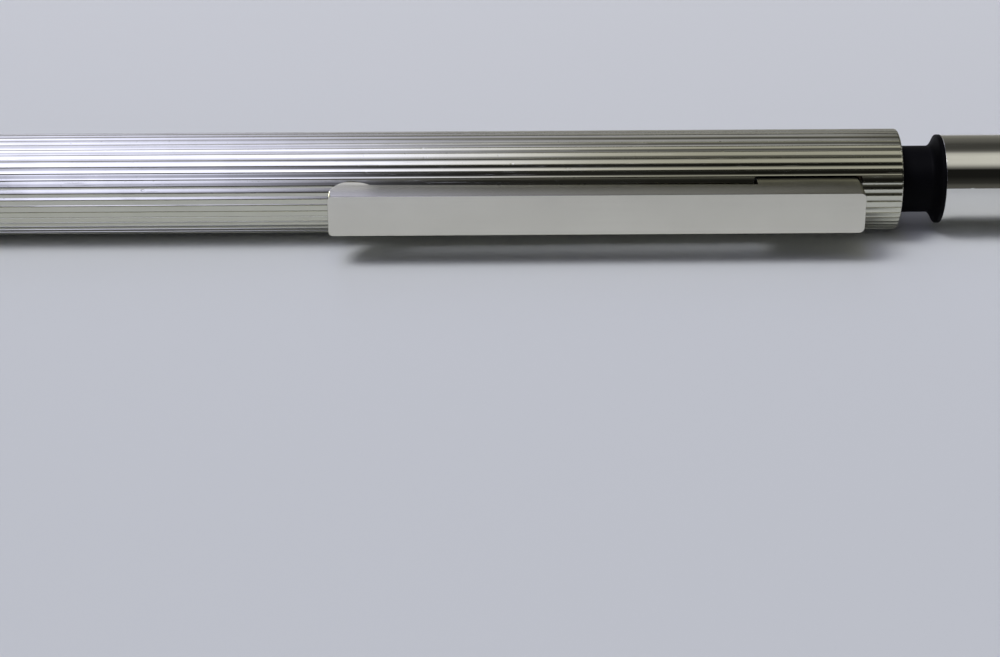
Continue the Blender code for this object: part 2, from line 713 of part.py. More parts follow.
def clip_side():
    """The clip seen from its side, as (distance from the pen's axis, height along it)."""
    face = CLIP_FACE_FROM_AXIS
    tail = math.sqrt(BARREL_RADIUS**2 - CLIP_HALF**2) - CLIP_TAIL_IN_SLOT
    boss_rear = HINGE_HEIGHT + HINGE_BOSS_RADIUS
    tip_edge = face - CLIP_FLANGE_AT_TIP
    root_edge = face - CLIP_FLANGE_AT_ROOT
    inner_half = CLIP_HALF - CLIP_SHEET
    lobe_edge = math.sqrt(BARREL_RADIUS**2 - inner_half**2) + CLIP_LOBE_GAP
    points = [(face, CLIP_TIP), (face, CLIP_REAR), (tail, CLIP_REAR), (tail, boss_rear)]
    for step in range(CURVE_STEPS + 1):
        angle = math.pi * step / CURVE_STEPS
        points.append(
            (
                HINGE_FROM_AXIS - HINGE_BOSS_RADIUS * math.sin(angle),
                HINGE_HEIGHT + HINGE_BOSS_RADIUS * math.cos(angle),
            )
        )
    points += [(tail, CLIP_ROOT_FRONT), (root_edge, CLIP_ROOT_FRONT)]
    lobe_rear = CLIP_TIP + CLIP_LOBE_LENGTH
    for step in range(LOBE_STEPS + 1):
        share = step / LOBE_STEPS
        swell = math.sin(math.pi * share) ** CLIP_LOBE_FULLNESS
        points.append((tip_edge + (lobe_edge - tip_edge) * swell, lobe_rear - CLIP_LOBE_LENGTH * share))
    return points


def make_clip():
    mesh = outlined("clip", [clip_side()], -CLIP_HALF, CLIP_HALF)
    stand = Matrix(((1, 0, 0, 0), (0, 0, -1, 0), (0, 1, 0, 0), (0, 0, 0, 1)))
    mesh.transform(stand)
    shape = bmesh.new()
    shape.from_mesh(mesh)
    bpy.data.meshes.remove(mesh)
    near = 0.001 * MM
    ends = [
        edge
        for edge in shape.edges
        if all(abs(abs(v.co.y) - CLIP_HALF) < near for v in edge.verts)
        and any(all(abs(v.co.z - end) < near for v in edge.verts) for end in (CLIP_TIP, CLIP_REAR))
    ]
    bmesh.ops.bevel(
        shape, geom=ends, offset=CLIP_CORNER_RADIUS, segments=3, affect="EDGES", profile=0.5
    )
    rim = [
        edge
        for edge in shape.edges
        if all(abs(v.co.x - CLIP_FACE_FROM_AXIS) < near for v in edge.verts)
        and edge.calc_face_angle(0) > math.radians(45)
    ]
    bmesh.ops.bevel(
        shape, geom=rim, offset=CLIP_FOLD_RADIUS, segments=2, affect="EDGES", profile=0.5
    )
    clip = place("clip", mesh_from(shape, "clip"), satin, clip_hinge)
    inner_half = CLIP_HALF - CLIP_SHEET
    channel = block(
        "clip_channel",
        (-BARREL_RADIUS, -inner_half, CLIP_TIP + CLIP_SHEET),
        (CLIP_UNDERSIDE, inner_half, CLIP_REAR - CLIP_SHEET),
    )
    cut(clip, "clip_channel", channel)
    hole = cross_rod(
        "clip_pin_hole", PIN_HOLE_RADIUS, 2 * CLIP_WIDTH, HINGE_FROM_AXIS, HINGE_HEIGHT
    )
    cut(clip, "clip_pin_hole", hole)


def make_clip_spring():
    along = BARREL_REAR - CLIP_SPRING_FROM_BARREL_END
    turn_to = Matrix.Translation((0, 0, along)) @ Matrix.Rotation(math.radians(90), 4, "Y")
    coil(
        "clip_spring",
        CLIP_SPRING_SEAT + SLIDE_FIT,
        CLIP_UNDERSIDE - SLIDE_FIT,
        CLIP_SPRING_DIAMETER / 2,
        CLIP_SPRING_WIRE,
        CLIP_SPRING_TURNS,
        steel,
        pen,
        turn_to,
    )


def lay_down():
    """Lays the pen along +X, on the edges of a groove, with the middle of its box over the origin."""
    below = FLUTES_BELOW_CLIP * math.tau / FLUTE_COUNT
    lift = below - math.pi / 2
    rest = BARREL_RADIUS * math.cos(GROOVE_SHARE * math.pi / FLUTE_COUNT)
    corner = CLIP_FACE_FROM_AXIS * math.cos(lift) + (CLIP_HALF - CLIP_FOLD_RADIUS) * math.sin(lift)
    middle = (rest - corner) / 2
    pen.matrix_world = Matrix(
        (
            (0, 0, 1, -BUTTON_REAR / 2),
            (-math.cos(lift), -math.sin(lift), 0, -middle),
            (math.sin(lift), -math.cos(lift), 0, rest),
            (0, 0, 0, 1),
        )
    )


clear_scene()
parts = new_collection("ballpoint_pen")
cutters = new_collection("cutters")

silver = finish("fluted silver", (0.62, 0.61, 0.58), 0.16, 1.0)
silver_smooth = finish("smooth silver", (0.64, 0.63, 0.61), 0.14, 1.0)
chrome = finish("chrome", (0.68, 0.68, 0.67), 0.08, 1.0)
satin = finish("satin steel", (0.52, 0.52, 0.51), 0.38, 1.0)
brass = finish("brass", (0.72, 0.55, 0.27), 0.28, 1.0)
steel = finish("spring steel", (0.55, 0.55, 0.56), 0.3, 1.0)
nickel = finish("nickel silver", (0.63, 0.6, 0.54), 0.25, 1.0)
carbide = finish("carbide", (0.33, 0.33, 0.34), 0.2, 1.0)
black_plastic = finish("black plastic", (0.012, 0.012, 0.013), 0.18, 0.0)
grey_plastic = finish("grey plastic", (0.3, 0.31, 0.32), 0.45, 0.0)
white_plastic = finish("white plastic", (0.78, 0.77, 0.73), 0.42, 0.0)
ink = finish("ink", (0.01, 0.02, 0.12), 0.3, 0.0)

pen = empty("pen_axis")
button = empty("button_travel", pen, (0, 0, FLARE_FRONT))
rotor = empty("rotor_travel", pen, (0, 0, ROTOR_FRONT))
refill = empty("refill_travel", pen, (0, 0, REFILL_FRONT))
clip_hinge = empty("clip_hinge", pen, (HINGE_FROM_AXIS, 0, HINGE_HEIGHT))

make_barrel()
make_nose()
make_refill()
make_return_spring()
make_cam_sleeve()
make_rotor()
make_plunger()
make_button()
make_rear_bush()
make_clip()
make_clip_spring()
lay_down()
bpy.context.view_layer.update()
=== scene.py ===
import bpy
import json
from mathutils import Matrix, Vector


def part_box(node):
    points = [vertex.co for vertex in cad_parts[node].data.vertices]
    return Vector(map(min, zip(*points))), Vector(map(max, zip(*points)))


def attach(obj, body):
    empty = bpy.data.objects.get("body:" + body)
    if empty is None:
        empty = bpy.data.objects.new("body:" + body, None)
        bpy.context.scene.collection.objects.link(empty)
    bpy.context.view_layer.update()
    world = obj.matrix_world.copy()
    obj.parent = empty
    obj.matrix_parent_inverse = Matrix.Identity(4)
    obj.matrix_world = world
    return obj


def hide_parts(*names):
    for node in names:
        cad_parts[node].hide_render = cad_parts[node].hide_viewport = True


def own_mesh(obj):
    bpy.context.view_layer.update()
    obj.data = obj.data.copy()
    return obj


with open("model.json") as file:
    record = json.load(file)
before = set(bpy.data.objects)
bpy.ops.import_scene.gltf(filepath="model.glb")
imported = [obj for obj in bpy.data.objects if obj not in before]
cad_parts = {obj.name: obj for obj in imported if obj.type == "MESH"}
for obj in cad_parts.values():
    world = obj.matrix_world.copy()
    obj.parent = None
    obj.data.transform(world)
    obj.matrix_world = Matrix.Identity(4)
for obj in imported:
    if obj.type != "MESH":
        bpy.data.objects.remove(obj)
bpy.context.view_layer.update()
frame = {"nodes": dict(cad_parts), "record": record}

import json
import math

import bmesh
import bpy
from mathutils import Matrix, Vector

mm = 0.001
scene = bpy.context.scene
scene.view_settings.view_transform = "Standard"

# the pen is drawn upright, nose at z = 0 and clip towards +x, then laid down like the CAD
penLay = {"clipLift": 3.75}  # degrees that the clip's face points above level
barrelLow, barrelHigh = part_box("barrel")
penAxis = (barrelLow + barrelHigh) / 2
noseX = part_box("nose_cone")[0].x
liftCos = math.cos(math.radians(penLay["clipLift"]))
liftSin = math.sin(math.radians(penLay["clipLift"]))
layDown = Matrix((
    (0, 0, 1, noseX),
    (-liftCos, -liftSin, 0, penAxis.y),
    (liftSin, -liftCos, 0, penAxis.z),
    (0, 0, 0, 1),
))


# small helpers for node trees

def addNode(tree, kind, **settings):
    node = tree.nodes.new(kind)
    for name, value in settings.items():
        setattr(node, name, value)
    return node


def math2(tree, operation, first, second=None, third=None):
    node = addNode(tree, "ShaderNodeMath", operation=operation)
    for socket, value in zip(node.inputs, (first, second, third)):
        if value is None:
            continue
        if isinstance(value, (int, float)):
            socket.default_value = value
        else:
            tree.links.new(value, socket)
    return node.outputs[0]


def mapRange(tree, value, low, high):
    # a soft step from 0 at low to 1 at high
    node = addNode(tree, "ShaderNodeMapRange", interpolation_type="SMOOTHSTEP")
    tree.links.new(value, node.inputs["Value"])
    node.inputs["From Min"].default_value = low
    node.inputs["From Max"].default_value = high
    return node.outputs["Result"]


def noiseOf(tree, vector, scale, detail, rough=0.5):
    node = addNode(tree, "ShaderNodeTexNoise")
    tree.links.new(vector, node.inputs["Vector"])
    node.inputs["Scale"].default_value = scale
    node.inputs["Detail"].default_value = detail
    node.inputs["Roughness"].default_value = rough
    return node.outputs["Fac"]


def stretched(tree, vector, scale):
    node = addNode(tree, "ShaderNodeMapping", vector_type="POINT")
    tree.links.new(vector, node.inputs["Vector"])
    node.inputs["Scale"].default_value = scale
    return node.outputs["Vector"]


def mixColour(tree, factor, first, second):
    node = addNode(tree, "ShaderNodeMix", data_type="RGBA", blend_type="MIX")
    for socket, value in ((node.inputs[0], factor), (node.inputs[6], first), (node.inputs[7], second)):
        if isinstance(value, tuple):
            socket.default_value = (*value, 1.0)
        else:
            tree.links.new(value, socket)
    return node.outputs[2]


# shader groups that several finishes share: scales and stretches are repeats per metre, pairs are fades
markLook = {
    "smudgeScale": 260.0, "smudge": (0.35, 0.7),
    "longStretch": (160.0, 9000.0, 9000.0), "long": (0.64, 0.74),
    "slantStretch": (2600.0, 700.0, 5200.0), "slant": (0.71, 0.79),
    "nickStretch": (700.0, 1300.0, 1300.0), "nick": (0.16, 0.05),
    "sparseScale": 420.0, "sparse": (0.6, 0.68),
}
grainLook = {
    "fineStretch": (90.0, 14000.0, 14000.0), "wideStretch": (60.0, 3000.0, 3000.0),
    "fineShare": 0.65, "wideShare": 0.35, "mottleScale": 180.0, "mottle": (0.3, 0.7),
    "ringStretch": (9000.0, 40.0, 40.0),
}


def newGroup(name, outputs):
    group = bpy.data.node_groups.new(name, "ShaderNodeTree")
    group.interface.new_socket("Vector", in_out="INPUT", socket_type="NodeSocketVector")
    for label in outputs:
        group.interface.new_socket(label, in_out="OUTPUT", socket_type="NodeSocketFloat")
    start = addNode(group, "NodeGroupInput").outputs["Vector"]
    return group, start, addNode(group, "NodeGroupOutput")


def buildHandlingMarks():
    look = markLook
    group, start, end = newGroup("handlingMarks", ("Smudge", "Scratch", "Nick"))
    smudge = mapRange(group, noiseOf(group, start, look["smudgeScale"], 4.0, 0.6), *look["smudge"])
    long = noiseOf(group, stretched(group, start, look["longStretch"]), 1.0, 3.0)
    slant = noiseOf(group, stretched(group, start, look["slantStretch"]), 1.0, 2.0)
    long, slant = mapRange(group, long, *look["long"]), mapRange(group, slant, *look["slant"])
    scratch = math2(group, "MAXIMUM", long, slant)
    cells = addNode(group, "ShaderNodeTexVoronoi", feature="F1")
    group.links.new(stretched(group, start, look["nickStretch"]), cells.inputs["Vector"])
    cells.inputs["Scale"].default_value = 1.0
    spots = mapRange(group, cells.outputs["Distance"], *look["nick"])
    sparse = mapRange(group, noiseOf(group, start, look["sparseScale"], 1.0), *look["sparse"])
    nick = math2(group, "MULTIPLY", spots, sparse)
    for label, value in (("Smudge", smudge), ("Scratch", scratch), ("Nick", nick)):
        group.links.new(value, end.inputs[label])
    return group


def buildDrawnGrain():
    look = grainLook
    group, start, end = newGroup("drawnGrain", ("Lines", "Mottle"))
    fine = noiseOf(group, stretched(group, start, look["fineStretch"]), 1.0, 4.0, 0.65)
    wide = noiseOf(group, stretched(group, start, look["wideStretch"]), 1.0, 2.0)
    fine = math2(group, "MULTIPLY", fine, look["fineShare"])
    lines = math2(group, "ADD", fine, math2(group, "MULTIPLY", wide, look["wideShare"]))
    mottle = mapRange(group, noiseOf(group, start, look["mottleScale"], 3.0), *look["mottle"])
    group.links.new(lines, end.inputs["Lines"])
    group.links.new(mottle, end.inputs["Mottle"])
    return group


def buildTurningRings():
    group, start, end = newGroup("turningRings", ("Rings",))
    rings = noiseOf(group, stretched(group, start, grainLook["ringStretch"]), 1.0, 3.0)
    group.links.new(rings, end.inputs["Rings"])
    return group


handlingMarks = buildHandlingMarks()
drawnGrain = buildDrawnGrain()
turningRings = buildTurningRings()


# finishes

def startFinish(name, colour, rough, metallic):
    made = bpy.data.materials.new(name)
    made.use_nodes = True
    tree = made.node_tree
    shader = tree.nodes["Principled BSDF"]
    shader.inputs["Base Color"].default_value = (*colour, 1.0)
    shader.inputs["Roughness"].default_value = rough
    shader.inputs["Metallic"].default_value = metallic
    place = addNode(tree, "ShaderNodeTexCoord").outputs["Object"]
    return made, tree, shader, place


def useGroup(tree, group, place):
    node = addNode(tree, "ShaderNodeGroup", node_tree=group)
    tree.links.new(place, node.inputs["Vector"])
    return node


def addBump(tree, shader, height, strength, distance):
    bump = addNode(tree, "ShaderNodeBump")
    bump.inputs["Strength"].default_value = strength
    bump.inputs["Distance"].default_value = distance
    tree.links.new(height, bump.inputs["Height"])
    tree.links.new(bump.outputs["Normal"], shader.inputs["Normal"])


polishWear = {"smudge": 0.35, "scratch": 0.8, "scratchDepth": 0.4, "ringRough": 0.08, "depth": 0.01 * mm}


def polishedMetal(name, colour, dull, rough, roughSpread, markBump, ringShare=0.0):
    wear = polishWear
    made, tree, shader, place = startFinish(name, colour, rough, 1.0)
    marks = useGroup(tree, handlingMarks, place)
    smudged = math2(tree, "MULTIPLY", marks.outputs["Smudge"], wear["smudge"])
    scratched = math2(tree, "MULTIPLY", marks.outputs["Scratch"], wear["scratch"])
    worn = math2(tree, "MAXIMUM", smudged, scratched)
    tree.links.new(mixColour(tree, worn, colour, dull), shader.inputs["Base Color"])
    roughness = math2(tree, "MULTIPLY_ADD", worn, roughSpread, rough)
    height = math2(tree, "MULTIPLY", marks.outputs["Scratch"], -wear["scratchDepth"])
    height = math2(tree, "MULTIPLY_ADD", marks.outputs["Nick"], -1.0, height)
    if ringShare:
        rings = useGroup(tree, turningRings, place).outputs["Rings"]
        height = math2(tree, "MULTIPLY_ADD", rings, ringShare, height)
        roughness = math2(tree, "MULTIPLY_ADD", rings, wear["ringRough"], roughness)
    tree.links.new(roughness, shader.inputs["Roughness"])
    addBump(tree, shader, height, markBump, wear["depth"])
    return made, tree, shader, place, marks


flutedLook = {
    # the last colour below is painted shade in the grooves
    "silver": (0.65, 0.645, 0.54), "dull": (0.55, 0.545, 0.445), "grooveShade": (0.30, 0.295, 0.245),
    "rough": 0.06, "roughSpread": 0.12, "markBump": 0.4,
    "grooveTop": 4.455 * mm, "grooveFloor": 4.42 * mm, "grooveRough": 0.3, "patchy": 0.3,
}


def flutedSilver():
    look = flutedLook
    made, tree, shader, place, marks = polishedMetal(
        "flutedSilver", look["silver"], look["dull"], look["rough"], look["roughSpread"], look["markBump"])
    middle = addNode(tree, "ShaderNodeVectorMath", operation="SUBTRACT")  # distance from the pen's axis
    tree.links.new(place, middle.inputs[0])
    middle.inputs[1].default_value = (0, penAxis.y, penAxis.z)
    radial = addNode(tree, "ShaderNodeVectorMath", operation="MULTIPLY")
    tree.links.new(middle.outputs["Vector"], radial.inputs[0])
    radial.inputs[1].default_value = (0, 1, 1)
    distance = addNode(tree, "ShaderNodeVectorMath", operation="LENGTH")
    tree.links.new(radial.outputs["Vector"], distance.inputs[0])
    # painted shade in the grooves: the groove floors get a darker colour, made patchy by the smudge noise
    groove = mapRange(tree, distance.outputs["Value"], look["grooveTop"], look["grooveFloor"])
    fill = math2(tree, "MULTIPLY_ADD", marks.outputs["Smudge"], look["patchy"], 1 - look["patchy"])
    groove = math2(tree, "MULTIPLY", groove, fill)
    before = shader.inputs["Base Color"].links[0].from_socket
    tree.links.new(mixColour(tree, groove, before, look["grooveShade"]), shader.inputs["Base Color"])
    rough = shader.inputs["Roughness"].links[0].from_socket
    rough = math2(tree, "MULTIPLY_ADD", groove, look["grooveRough"], rough)
    tree.links.new(rough, shader.inputs["Roughness"])
    return made


satinLook = {
    # root, cheek, fold and lobe are painted light and shade on the clip's sheet: root and cheek paint shade on
    # the flanges, darkest near the barrel, fold paints a dark reflection along the fold, lobe paints a lighter
    # tone on the flange at the tip
    "steel": (0.775, 0.755, 0.65), "dull": (0.685, 0.665, 0.57), "root": (0.25, 0.245, 0.2),
    "cheek": (0.41, 0.405, 0.335), "fold": (0.2, 0.195, 0.16), "lobe": (0.56, 0.55, 0.465),
    "rough": 0.19, "lowRough": 0.13, "lineRough": 0.14, "smudgeRough": 0.05,
    "mottle": 0.35, "lines": 0.5, "scratchDepth": 0.5, "markBump": 0.35, "depth": 0.006 * mm,
    "flangeShadeRise": (5.4 * mm, 7.5 * mm), "foldShadeRise": (7.6 * mm, 7.65 * mm),
    "faceRise": (7.675 * mm, 7.693 * mm), "lobeLightFade": (4.8 * mm, 2.6 * mm),
}


def satinSteel():
    look = satinLook
    made, tree, shader, place = startFinish("satinSteel", look["steel"], look["rough"], 1.0)
    grain = useGroup(tree, drawnGrain, place)
    marks = useGroup(tree, handlingMarks, place)
    tone = math2(tree, "MULTIPLY", grain.outputs["Lines"], look["lines"])
    tone = math2(tree, "MULTIPLY_ADD", grain.outputs["Mottle"], look["mottle"], tone)
    rise = addNode(tree, "ShaderNodeVectorMath", operation="DOT_PRODUCT")  # height towards the clip's face
    tree.links.new(place, rise.inputs[0])
    outward = layDown.to_3x3() @ Vector((1, 0, 0))
    rise.inputs[1].default_value = outward
    start = outward.dot(penAxis)
    steps = []
    # the first mask places the painted flange shade, the second the painted dark fold line, the third the face
    # in its own colour
    for key in ("flangeShadeRise", "foldShadeRise", "faceRise"):
        low, high = look[key]
        steps.append(mapRange(tree, rise.outputs["Value"], start + low, start + high))
    split = addNode(tree, "ShaderNodeSeparateXYZ")
    tree.links.new(place, split.inputs[0])
    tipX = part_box("clip")[0].x
    lobe = mapRange(tree, split.outputs["X"], *(tipX + reach for reach in look["lobeLightFade"]))
    # painted shade on the flanges, darkest near the barrel, then a painted lighter tone at the tip and a
    # painted dark line along the fold
    shade = mixColour(tree, steps[0], look["root"], look["cheek"])
    shade = mixColour(tree, lobe, shade, look["lobe"])
    shade = mixColour(tree, steps[1], shade, look["fold"])
    front = mixColour(tree, tone, look["steel"], look["dull"])
    tree.links.new(mixColour(tree, steps[2], shade, front), shader.inputs["Base Color"])
    rough = math2(tree, "MULTIPLY_ADD", grain.outputs["Lines"], look["lineRough"], look["lowRough"])
    rough = math2(tree, "MULTIPLY_ADD", marks.outputs["Smudge"], look["smudgeRough"], rough)
    tree.links.new(rough, shader.inputs["Roughness"])
    lines = grain.outputs["Lines"]
    height = math2(tree, "MULTIPLY_ADD", marks.outputs["Scratch"], -look["scratchDepth"], lines)
    addBump(tree, shader, height, look["markBump"], look["depth"])
    return made


drawnLook = {
    "colour": (0.56, 0.56, 0.57), "dull": 0.8, "rough": 0.22, "lineRough": 0.15,
    "lineBump": 0.3, "depth": 0.005 * mm,
}


def drawnSteel():
    look = drawnLook
    made, tree, shader, place = startFinish("springSteel", look["colour"], look["rough"], 1.0)
    grain = useGroup(tree, drawnGrain, place)
    dull = tuple(look["dull"] * part for part in look["colour"])
    tree.links.new(mixColour(tree, grain.outputs["Mottle"], look["colour"], dull), shader.inputs["Base Color"])
    rough = math2(tree, "MULTIPLY_ADD", grain.outputs["Lines"], look["lineRough"], look["rough"])
    tree.links.new(rough, shader.inputs["Roughness"])
    addBump(tree, shader, grain.outputs["Lines"], look["lineBump"], look["depth"])
    return made


mouldWear = {
    "smudgeRough": 0.1, "scratchRough": 0.15, "skinScale": 5200.0, "skinBump": 0.15, "skinDepth": 0.004 * mm,
    "coatRough": 0.08,
}


def mouldedPlastic(name, colour, worn, rough, coat, shine):
    wear = mouldWear
    made, tree, shader, place = startFinish(name, colour, rough, 0.0)
    marks = useGroup(tree, handlingMarks, place)
    tree.links.new(mixColour(tree, marks.outputs["Smudge"], colour, worn), shader.inputs["Base Color"])
    roughness = math2(tree, "MULTIPLY_ADD", marks.outputs["Smudge"], wear["smudgeRough"], rough)
    roughness = math2(tree, "MULTIPLY_ADD", marks.outputs["Scratch"], wear["scratchRough"], roughness)
    tree.links.new(roughness, shader.inputs["Roughness"])
    skin = noiseOf(tree, place, wear["skinScale"], 2.0)
    addBump(tree, shader, skin, wear["skinBump"], wear["skinDepth"])
    shader.inputs["Coat Weight"].default_value = coat
    shader.inputs["Specular IOR Level"].default_value = shine
    shader.inputs["Coat Roughness"].default_value = wear["coatRough"]
    return made


metalLooks = {  # name, colour, dull colour, roughness, its spread, bump of the marks, share of turning rings
    "smooth_silver": ("smoothSilver", (0.65, 0.64, 0.57), (0.52, 0.51, 0.44), 0.09, 0.14, 0.4),
    "chrome": ("capChrome", (0.84, 0.835, 0.785), (0.79, 0.785, 0.735), 0.03, 0.05, 0.15),
    "brass": ("turnedBrass", (0.74, 0.55, 0.26), (0.52, 0.36, 0.16), 0.2, 0.2, 0.4, 0.6),
    # this near-black brass paints the shade seen through the slot, on the rear bush
    "brass_painted_shade": ("brassPaintedShade", (0.14, 0.11, 0.07), (0.08, 0.065, 0.045), 0.35, 0.2, 0.4, 0.6),
    "nickel_silver": ("nickelSilver", (0.63, 0.6, 0.53), (0.5, 0.47, 0.4), 0.18, 0.16, 0.4, 0.6),
    "carbide": ("groundCarbide", (0.3, 0.3, 0.31), (0.2, 0.2, 0.21), 0.16, 0.2, 0.4),
}
plasticLooks = {  # name, colour, worn colour, roughness, coat, shine
    "black_plastic": ("blackPlastic", (0.002, 0.002, 0.0024), (0.003, 0.003, 0.0034), 0.5, 0.0, 0.04),
    "grey_plastic": ("greyPlastic", (0.27, 0.28, 0.29), (0.33, 0.34, 0.34), 0.42, 0.0, 0.5),
    "white_plastic": ("whitePlastic", (0.78, 0.77, 0.72), (0.7, 0.68, 0.61), 0.38, 0.0, 0.5),
    "ink": ("pasteInk", (0.008, 0.014, 0.1), (0.012, 0.02, 0.14), 0.25, 0.5, 0.5),
}
finishes = {"fluted_silver": flutedSilver(), "satin_steel": satinSteel(), "spring_steel": drawnSteel()}
for slot, look in metalLooks.items():
    finishes[slot] = polishedMetal(*look)[0]
for slot, look in plasticLooks.items():
    finishes[slot] = mouldedPlastic(*look)
print("finishes:", len(finishes))


# geometry trees
weldDistance = 0.0005 * mm


def newTree(name, inputs):
    tree = bpy.data.node_groups.new(name, "GeometryNodeTree")
    tree.interface.new_socket("Geometry", in_out="INPUT", socket_type="NodeSocketGeometry")
    for label, kind in inputs:
        tree.interface.new_socket(label, in_out="INPUT", socket_type=kind)
    tree.interface.new_socket("Geometry", in_out="OUTPUT", socket_type="NodeSocketGeometry")
    return tree, addNode(tree, "NodeGroupInput"), addNode(tree, "NodeGroupOutput")


def closeTree(tree, start, end, geometry):
    real = addNode(tree, "GeometryNodeRealizeInstances")
    dress = addNode(tree, "GeometryNodeSetMaterial")
    tree.links.new(geometry, real.inputs["Geometry"])
    tree.links.new(real.outputs["Geometry"], dress.inputs["Geometry"])
    tree.links.new(start.outputs["Finish"], dress.inputs["Material"])
    tree.links.new(dress.outputs["Geometry"], end.inputs["Geometry"])


def buildTurnedShell():
    # a grid wrapped round the axis: its rows follow the profile's points, its columns the flutes
    tree, start, end = newTree("turnedShell", (
        ("Flutes", "NodeSocketInt"), ("Points Per Flute", "NodeSocketInt"),
        ("Flute Radius", "NodeSocketFloat"), ("Flute Hollow", "NodeSocketFloat"),
        ("Groove Share", "NodeSocketFloat"), ("Groove Depth", "NodeSocketFloat"),
        ("Finish", "NodeSocketMaterial"),
    ))
    size = addNode(tree, "GeometryNodeAttributeDomainSize", component="MESH")
    tree.links.new(start.outputs["Geometry"], size.inputs["Geometry"])
    count = size.outputs["Point Count"]
    columns = math2(tree, "MULTIPLY", start.outputs["Flutes"], start.outputs["Points Per Flute"])
    grid = addNode(tree, "GeometryNodeMeshGrid")
    grid.inputs["Size X"].default_value = 1.0
    grid.inputs["Size Y"].default_value = 1.0
    tree.links.new(math2(tree, "ADD", columns, 1.0), grid.inputs["Vertices X"])
    tree.links.new(math2(tree, "ADD", count, 1.0), grid.inputs["Vertices Y"])
    here = addNode(tree, "ShaderNodeSeparateXYZ")
    tree.links.new(addNode(tree, "GeometryNodeInputPosition").outputs[0], here.inputs[0])
    around = math2(tree, "ADD", here.outputs["X"], 0.5)
    row = math2(tree, "ROUND", math2(tree, "MULTIPLY", math2(tree, "ADD", here.outputs["Y"], 0.5), count))
    row = math2(tree, "MODULO", row, count)
    pick = addNode(tree, "GeometryNodeSampleIndex", data_type="FLOAT_VECTOR", domain="POINT")
    tree.links.new(start.outputs["Geometry"], pick.inputs["Geometry"])
    tree.links.new(addNode(tree, "GeometryNodeInputPosition").outputs[0], pick.inputs["Value"])
    tree.links.new(row, pick.inputs["Index"])
    profile = addNode(tree, "ShaderNodeSeparateXYZ")
    tree.links.new(pick.outputs["Value"], profile.inputs[0])
    turns = math2(tree, "ADD", math2(tree, "MULTIPLY", around, start.outputs["Flutes"]), 0.5)
    across = math2(tree, "ABSOLUTE", math2(tree, "SUBTRACT", math2(tree, "FRACT", turns), 0.5))
    half = math2(tree, "MULTIPLY", math2(tree, "SUBTRACT", 1.0, start.outputs["Groove Share"]), 0.5)
    share = math2(tree, "DIVIDE", math2(tree, "MINIMUM", across, half), half)
    hollow = math2(tree, "SUBTRACT", 1.0, math2(tree, "MULTIPLY", share, share))
    hollow = math2(tree, "MULTIPLY", hollow, start.outputs["Flute Hollow"])
    into = math2(tree, "MAXIMUM", math2(tree, "SUBTRACT", across, half), 0.0)
    into = math2(tree, "DIVIDE", into, math2(tree, "MULTIPLY", start.outputs["Groove Share"], 0.5))
    groove = math2(tree, "MULTIPLY", into, start.outputs["Groove Depth"])
    limit = math2(tree, "SUBTRACT", start.outputs["Flute Radius"], hollow)
    limit = math2(tree, "SUBTRACT", limit, groove)
    radius = math2(tree, "MINIMUM", profile.outputs["X"], limit)
    angle = math2(tree, "MULTIPLY", around, math.tau)
    point = addNode(tree, "ShaderNodeCombineXYZ")
    tree.links.new(math2(tree, "MULTIPLY", radius, math2(tree, "COSINE", angle)), point.inputs["X"])
    tree.links.new(math2(tree, "MULTIPLY", radius, math2(tree, "SINE", angle)), point.inputs["Y"])
    tree.links.new(profile.outputs["Z"], point.inputs["Z"])
    wrap = addNode(tree, "GeometryNodeSetPosition")
    tree.links.new(grid.outputs["Mesh"], wrap.inputs["Geometry"])
    tree.links.new(point.outputs["Vector"], wrap.inputs["Position"])
    weld = addNode(tree, "GeometryNodeMergeByDistance")
    weld.inputs["Distance"].default_value = weldDistance
    tree.links.new(wrap.outputs["Geometry"], weld.inputs["Geometry"])
    closeTree(tree, start, end, weld.outputs["Geometry"])
    return tree


